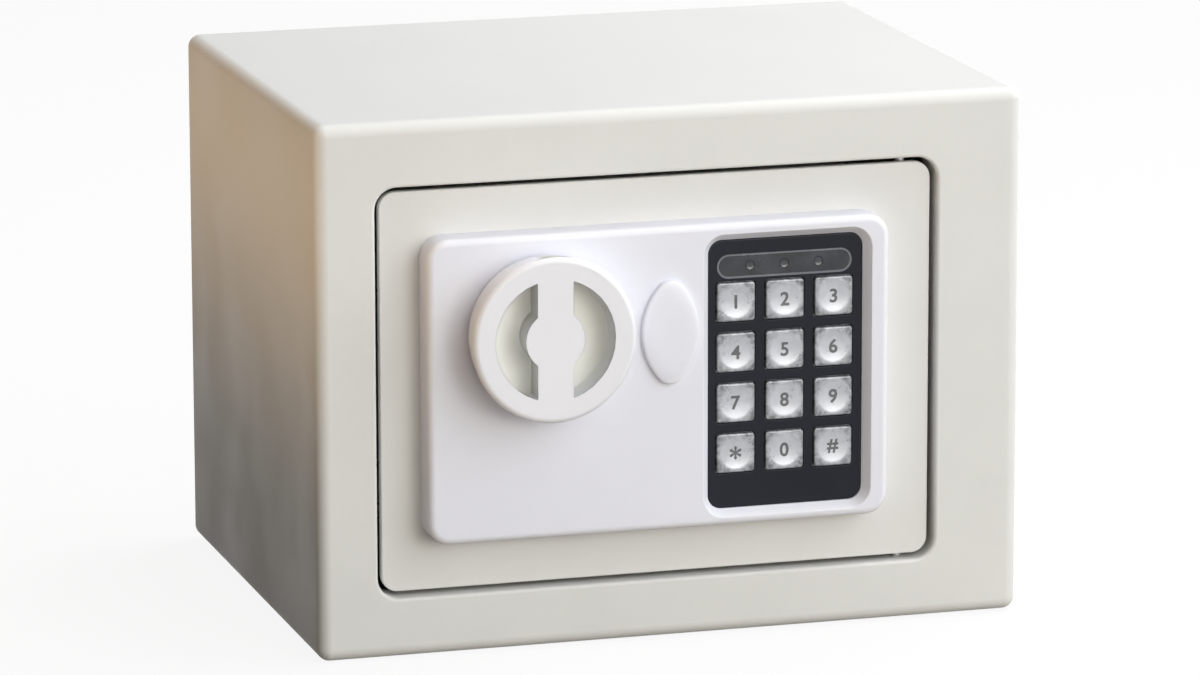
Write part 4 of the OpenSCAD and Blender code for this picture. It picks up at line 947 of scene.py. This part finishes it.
# %% Indicator window
LENS_PITCH, LENS_RADIUS, FACE_DEPTH, LENS_DEPTH = 11.2, 1.5, 0.22, 0.34
low, high = span("indicator_window")
front, face_y, lens_y = low[1], low[1] + FACE_DEPTH, low[1] + LENS_DEPTH
skin = Skin()
rings = skin.sweep((pill(*WINDOW_AT, *WINDOW_SIZE), np.array([
    [0, high[1], 0], [0, front + 0.25, 0], [0.12, front, 1], [0.85, front, 1],
    [1.05, face_y, 0], [1.15, face_y, 0]])))
# the marks on the dimple rows paint a faint highlight in each dimple
dimple = np.array([[-0.15, face_y, 0], [0, face_y, 0.3], [0.3, lens_y, 0.15], [1.2, lens_y, 0.3]])
lens_x = WINDOW_AT[0] + LENS_PITCH * np.array([-1, 0, 1])
lenses = [skin.sweep((circle(x, WINDOW_AT[1], LENS_RADIUS, 32), dimple)) for x in lens_x]
skin.face(rings[0])
skin.face(rings[-1], *[lens[0] for lens in lenses])
for lens in lenses:
    skin.face(lens[-1])
settle(skin.weld("smoked_indicator_window"), "indicator_window")

# %% [markdown]
# Each key has a round dish pressed into its square face. A Boolean with a sphere would cut it,
# but the sphere's own formula makes clean rings: the depth at radius r is sqrt(R^2 - r^2) less
# the same at the rim. A wide ledge behind the cap keeps it from falling out of the bezel.

# %% Key cap
BALL, DISH = 30.0, 0.45
KEY_HALF, LEDGE, LEDGE_THICK = 6.2, 0.5, 0.6
rim_radius = math.sqrt(BALL ** 2 - (BALL - DISH) ** 2)


def dish_depth(r):
    """How far the dish lies behind the face at radius r; 0 from its rim outwards."""
    return np.sqrt(BALL ** 2 - np.minimum(r, rim_radius) ** 2) - (BALL - DISH)


def cap(node, x, z):
    """Ledge, walls, soft front edge and dish of one key, as one closed mesh."""
    low, high = span(node)
    face_y, ledge_y = low[1], high[1] - LEDGE_THICK
    skin = Skin()
    top = skin.sweep(
        (square(x, z, KEY_HALF + LEDGE, 1.0), plain((0, high[1]), (0, ledge_y))),
        (square(x, z, KEY_HALF, 1.0), np.concatenate([plain((0, ledge_y)),
                                                      bend(0.5, 0, face_y)])))
    skin.face(top[0])
    radii = np.concatenate([[rim_radius + 0.25, rim_radius + 0.1],
                            np.linspace(rim_radius, 0.02, 14)])
    bowl = np.stack([6.0 - radii, face_y + dish_depth(radii), np.zeros(len(radii))], 1)
    rings = skin.sweep((circle(x, z, 6.0, 48), bowl))
    skin.face(rings[-1])
    skin.face(top[-1], rings[0])
    return skin.weld(node + "_cap")


print("a dish is", round(2 * rim_radius, 2), "mm wide and", DISH, "mm deep")

# %% [markdown]
# A printed sign is a film of ink. An image could carry it, but text made into a mesh stays
# crisp from near by and needs no file. It is centred on the key by its own outline and moved
# back onto the dish point by point.

# %% Printed sign
INK, BOLDER = 0.04, 0.15


def printed(sign, x, z, face_y, size):
    """Points and faces of the sign: (x + u, face + dish depth - ink height, z + v)."""
    curve = bpy.data.curves.new("ink", "FONT")
    curve.body, curve.size, curve.extrude, curve.offset = sign, size, INK, BOLDER
    text = bpy.data.objects.new("ink", curve)
    scene.collection.objects.link(text)
    bpy.context.view_layer.update()
    evaluated = text.evaluated_get(bpy.context.evaluated_depsgraph_get())
    mesh = bpy.data.meshes.new_from_object(evaluated)
    bpy.data.objects.remove(text)
    flat = places(mesh)
    flat[:, :2] -= (flat[:, :2].min(0) + flat[:, :2].max(0)) / 2
    r = np.hypot(flat[:, 0], flat[:, 1])
    laid = np.stack([x + flat[:, 0], face_y + dish_depth(r) - flat[:, 2], z + flat[:, 1]], 1)
    faces = [tuple(p.vertices) for p in mesh.polygons]
    bpy.data.meshes.remove(mesh)
    return laid, faces


def inked(piece, laid, faces):
    """Add the sign's faces to the cap's mesh, in the piece's second material."""
    work = bmesh.new()
    work.from_mesh(piece.data)
    made = [work.verts.new(p) for p in (laid * MM).tolist()]
    for f in faces:
        work.faces.new([made[i] for i in f]).material_index = 1
    bmesh.ops.remove_doubles(work, verts=made, dist=1e-6)
    bmesh.ops.recalc_face_normals(work, faces=[f for f in work.faces if f.material_index])
    work.to_mesh(piece.data)
    work.free()


print("ink stands", INK, "mm proud of the dish")

# %% [markdown]
# The twelve keys are one function of the node's name, the sign and the place. Their UV map puts
# the cap's middle at (0.5, 0.5), for the dark corners of the silver. The star is drawn small
# and high in this typeface, so it gets a larger size.

# %% Keys
SIGN_SIZE, STAR_SIZE = 6.0, 9.0


def face_map(mesh, x, z):
    """UV of a corner: its (x, z) from the key's middle, over the key's width, plus a half."""
    corners = np.zeros(len(mesh.loops), np.int32)
    mesh.loops.foreach_get("vertex_index", corners)
    uv = (places(mesh)[corners][:, [0, 2]] / MM - [x, z]) / (2 * KEY_HALF) + 0.5
    mesh.uv_layers.new(name="face").data.foreach_set("uv", uv.ravel().astype(np.float32))


def key(node, sign, x, z):
    """One key: cap, two materials, sign and UV map."""
    piece = cap(node, x, z)
    for name in ("key_silver", "key_print"):
        piece.data.materials.append(finishes[name])
    size = STAR_SIZE if sign == "*" else SIGN_SIZE
    inked(piece, *printed(sign, x, z, span(node)[0][1], size))
    face_map(piece.data, x, z)
    return settle(piece, node)


for i, sign in enumerate("123456789*0#"):
    name = {"*": "star", "#": "hash"}.get(sign, sign)
    key("key_" + name, sign, key_x[i % 3], key_z[i // 3])

# %% [markdown]
# ## Steel and plastic behind the door
# These pieces show when the door is open. The frame already has their shapes, and drawing them
# again would only risk a difference, so a merged copy gets its edges softened. A CAD mesh is
# loose triangles, so the copy is merged and its flat faces are joined before the Bevel
# modifier can tell a real edge from a seam between two triangles.

# %% Softened copies


def softened(node, radius):
    """Copy of a node's mesh, merged, its flat faces joined, with a small round on each edge."""
    mesh = nodes[node].data.copy()
    work = bmesh.new()
    work.from_mesh(mesh)
    bmesh.ops.remove_doubles(work, verts=work.verts, dist=2e-6)
    bmesh.ops.dissolve_limit(work, angle_limit=math.radians(0.5), verts=work.verts,
                             edges=work.edges)
    work.to_mesh(mesh)
    work.free()
    mesh.shade_smooth()
    mesh.materials.clear()
    piece = bpy.data.objects.new(node + "_finished", mesh)
    scene.collection.objects.link(piece)
    round_off = piece.modifiers.new("softened edges", "BEVEL")
    round_off.width = radius * MM
    round_off.segments = 2
    round_off.limit_method = "ANGLE"
    round_off.angle_limit = math.radians(40)
    round_off.harden_normals = True
    print(f"{piece.name}: {len(mesh.polygons)} faces, edges of {radius} mm")
    return settle(piece, node)


for node, radius in (("inner_cover", 0.5), ("battery_lid", 0.4), ("door_hinge_blocks", 0.4),
                     ("hinge_brackets", 0.4), ("bolt_guide", 0.25), ("bolt_carriage", 0.25),
                     ("reset_button", 0.3), ("battery_tray", 0.25), ("reset_switch", 0.3),
                     ("solenoid_frame", 0.2), ("release_arm", 0.2)):
    softened(node, radius)

# %% [markdown]
# Screws, pins, springs, leads and the board are right as they come, small and mostly hidden.
# Their meshes stay untouched, and they only get the finish of their slot and smooth shading
# with the same crease as the other pieces.

# %% The other nodes get their finish
kept = 0
for node, piece in nodes.items():
    piece.data.materials.clear()
    piece.data.materials.append(finishes[slot_of[node]])
    if not piece.hide_render:
        piece.data.shade_smooth()
        piece.data.set_sharp_from_angle(angle=math.radians(CREASE))
        kept += 1
print(kept, "nodes keep their own mesh")

# %% [markdown]
# ## Floor and surround
# The box stands on a plain pale floor that runs into a white surround. Strong lamps could burn
# both out to white, but they would burn out the box too. Light Path tells which rays show the
# background, so the floor and the world look white to those, and light the box with a dimmer,
# warmer tone.

# %% Helpers for the background


def seen_directly(tree):
    """1 for the rays that show the background: camera, glossy and transmission rays."""
    path = add(tree, "LightPath")
    mirrored = maths(tree, "MAXIMUM", path.outputs["Is Glossy Ray"],
                     path.outputs["Is Transmission Ray"])
    return maths(tree, "MAXIMUM", path.outputs["Is Camera Ray"], mirrored)


def blended(tree, share, a, b, output):
    """Shader a where the share is 0 and shader b where it is 1, into the output node."""
    blend = add(tree, "MixShader", in_Fac=share)
    tree.links.new(a.outputs[0], blend.inputs[1])
    tree.links.new(b.outputs[0], blend.inputs[2])
    tree.links.new(blend.outputs[0], output.inputs["Surface"])


# %% [markdown]
# The floor is a big flat sheet half a millimetre below the box, so that the two never share a
# plane. Nine tenths of what the camera sees of it is a plain white glow, and the rest is a
# diffuse paper, which keeps the box's soft shadow.

# %% Floor
FLOOR_Z, GLOW_SHARE = -0.0005, 0.90
corners = [(x, y, FLOOR_Z) for x, y in ((-6, -4), (6, -4), (6, 8), (-6, 8))]
floor_mesh = bpy.data.meshes.new("floor")
floor_mesh.from_pydata(corners, [], [(0, 1, 2, 3)])
floor = bpy.data.objects.new("floor", floor_mesh)
scene.collection.objects.link(floor)
material = bpy.data.materials.new("pale_floor")
material.use_nodes = True
tree = material.node_tree
tree.nodes.clear()
seen = seen_directly(tree)
paper = add(tree, "BsdfDiffuse", in_Color=mixed(tree, seen, (0.22, 0.19, 0.16), (0.9, 0.9, 0.9)))
glow = add(tree, "Emission", in_Color=(1, 1, 1, 1), in_Strength=1.0)
blended(tree, maths(tree, "MULTIPLY", seen, GLOW_SHARE), paper, glow,
        tree.nodes.new("ShaderNodeOutputMaterial"))
floor_mesh.materials.append(material)
print("floor material has", len(tree.nodes), "nodes")

# %% [markdown]
# The surround lights the box softly from everywhere. It is neutral on the right and dark and
# warm on the left, which gives the left side its brownish shade. A blend along the world's X
# does that without another lamp.

# %% Surround
world = bpy.data.worlds.new("surround")
scene.world = world
world.use_nodes = True
tree = world.node_tree
tree.nodes.clear()
direction = add(tree, "SeparateXYZ", in_Vector=add(tree, "TexCoord").outputs["Generated"])
rightness = ranged(tree, direction.outputs["X"], 0.0, 1.0, -0.7, 0.5)
tone = mixed(tree, rightness, (0.050, 0.034, 0.018), (0.25, 0.25, 0.25))
soft = add(tree, "Background", in_Color=tone, in_Strength=1.0)
white = add(tree, "Background", in_Color=(1, 1, 1, 1), in_Strength=1.0)
blended(tree, seen_directly(tree), soft, white, tree.nodes.new("ShaderNodeOutputWorld"))
print("surround has", len(tree.nodes), "nodes")

# %% [markdown]
# ## Lamps
# A studio lights such a box with large soft boxes, because a small lamp gives hard shadows and
# a spot of glare. The cool key stands at the front right, a warmer one fills from in front, one
# above lights the top, and one low behind keeps the far side from going black. A narrow warm
# glow close to the left side stands for light thrown back by something brown beside the box.

# %% Lamps
MIDDLE = (0, 0, 0.085)
GLOW_SPREAD = 54


def softbox(name, place, target, size, power, colour=(1, 1, 1)):
    """Rectangular lamp at a place, turned so that its -Z axis points at the target."""
    lamp = bpy.data.objects.new(name, bpy.data.lights.new(name, "AREA"))
    lamp.data.shape = "RECTANGLE"
    lamp.data.size, lamp.data.size_y = size
    lamp.data.energy = power
    lamp.data.color = colour
    lamp.location = place
    lamp.rotation_euler = (Vector(target) - Vector(place)).to_track_quat("-Z", "Y").to_euler()
    scene.collection.objects.link(lamp)
    print(f"{name}: {power} W over {size[0]} by {size[1]} m")
    return lamp


softbox("overhead", (0.62, 0.15, 1.4), MIDDLE, (1.1, 1.1), 17.0)
softbox("key", (1.15, -1.45, 0.95), MIDDLE, (2.2, 2.0), 30.0, (0.91, 0.95, 1.0))
softbox("front", (0.3, -2.5, 0.5), MIDDLE, (2.0, 1.4), 28.0, (1.0, 0.94, 0.82))
softbox("behind", (1.8, 1.6, 0.25), MIDDLE, (1.0, 0.5), 18)
left_glow = softbox("left_glow", (-0.33, -0.01, 0.150), (-0.115, -0.01, 0.150), (0.34, 0.04),
                    0.047, (1.0, 0.67, 0.37))
left_glow.data.spread = math.radians(GLOW_SPREAD)
left_glow.visible_camera = False
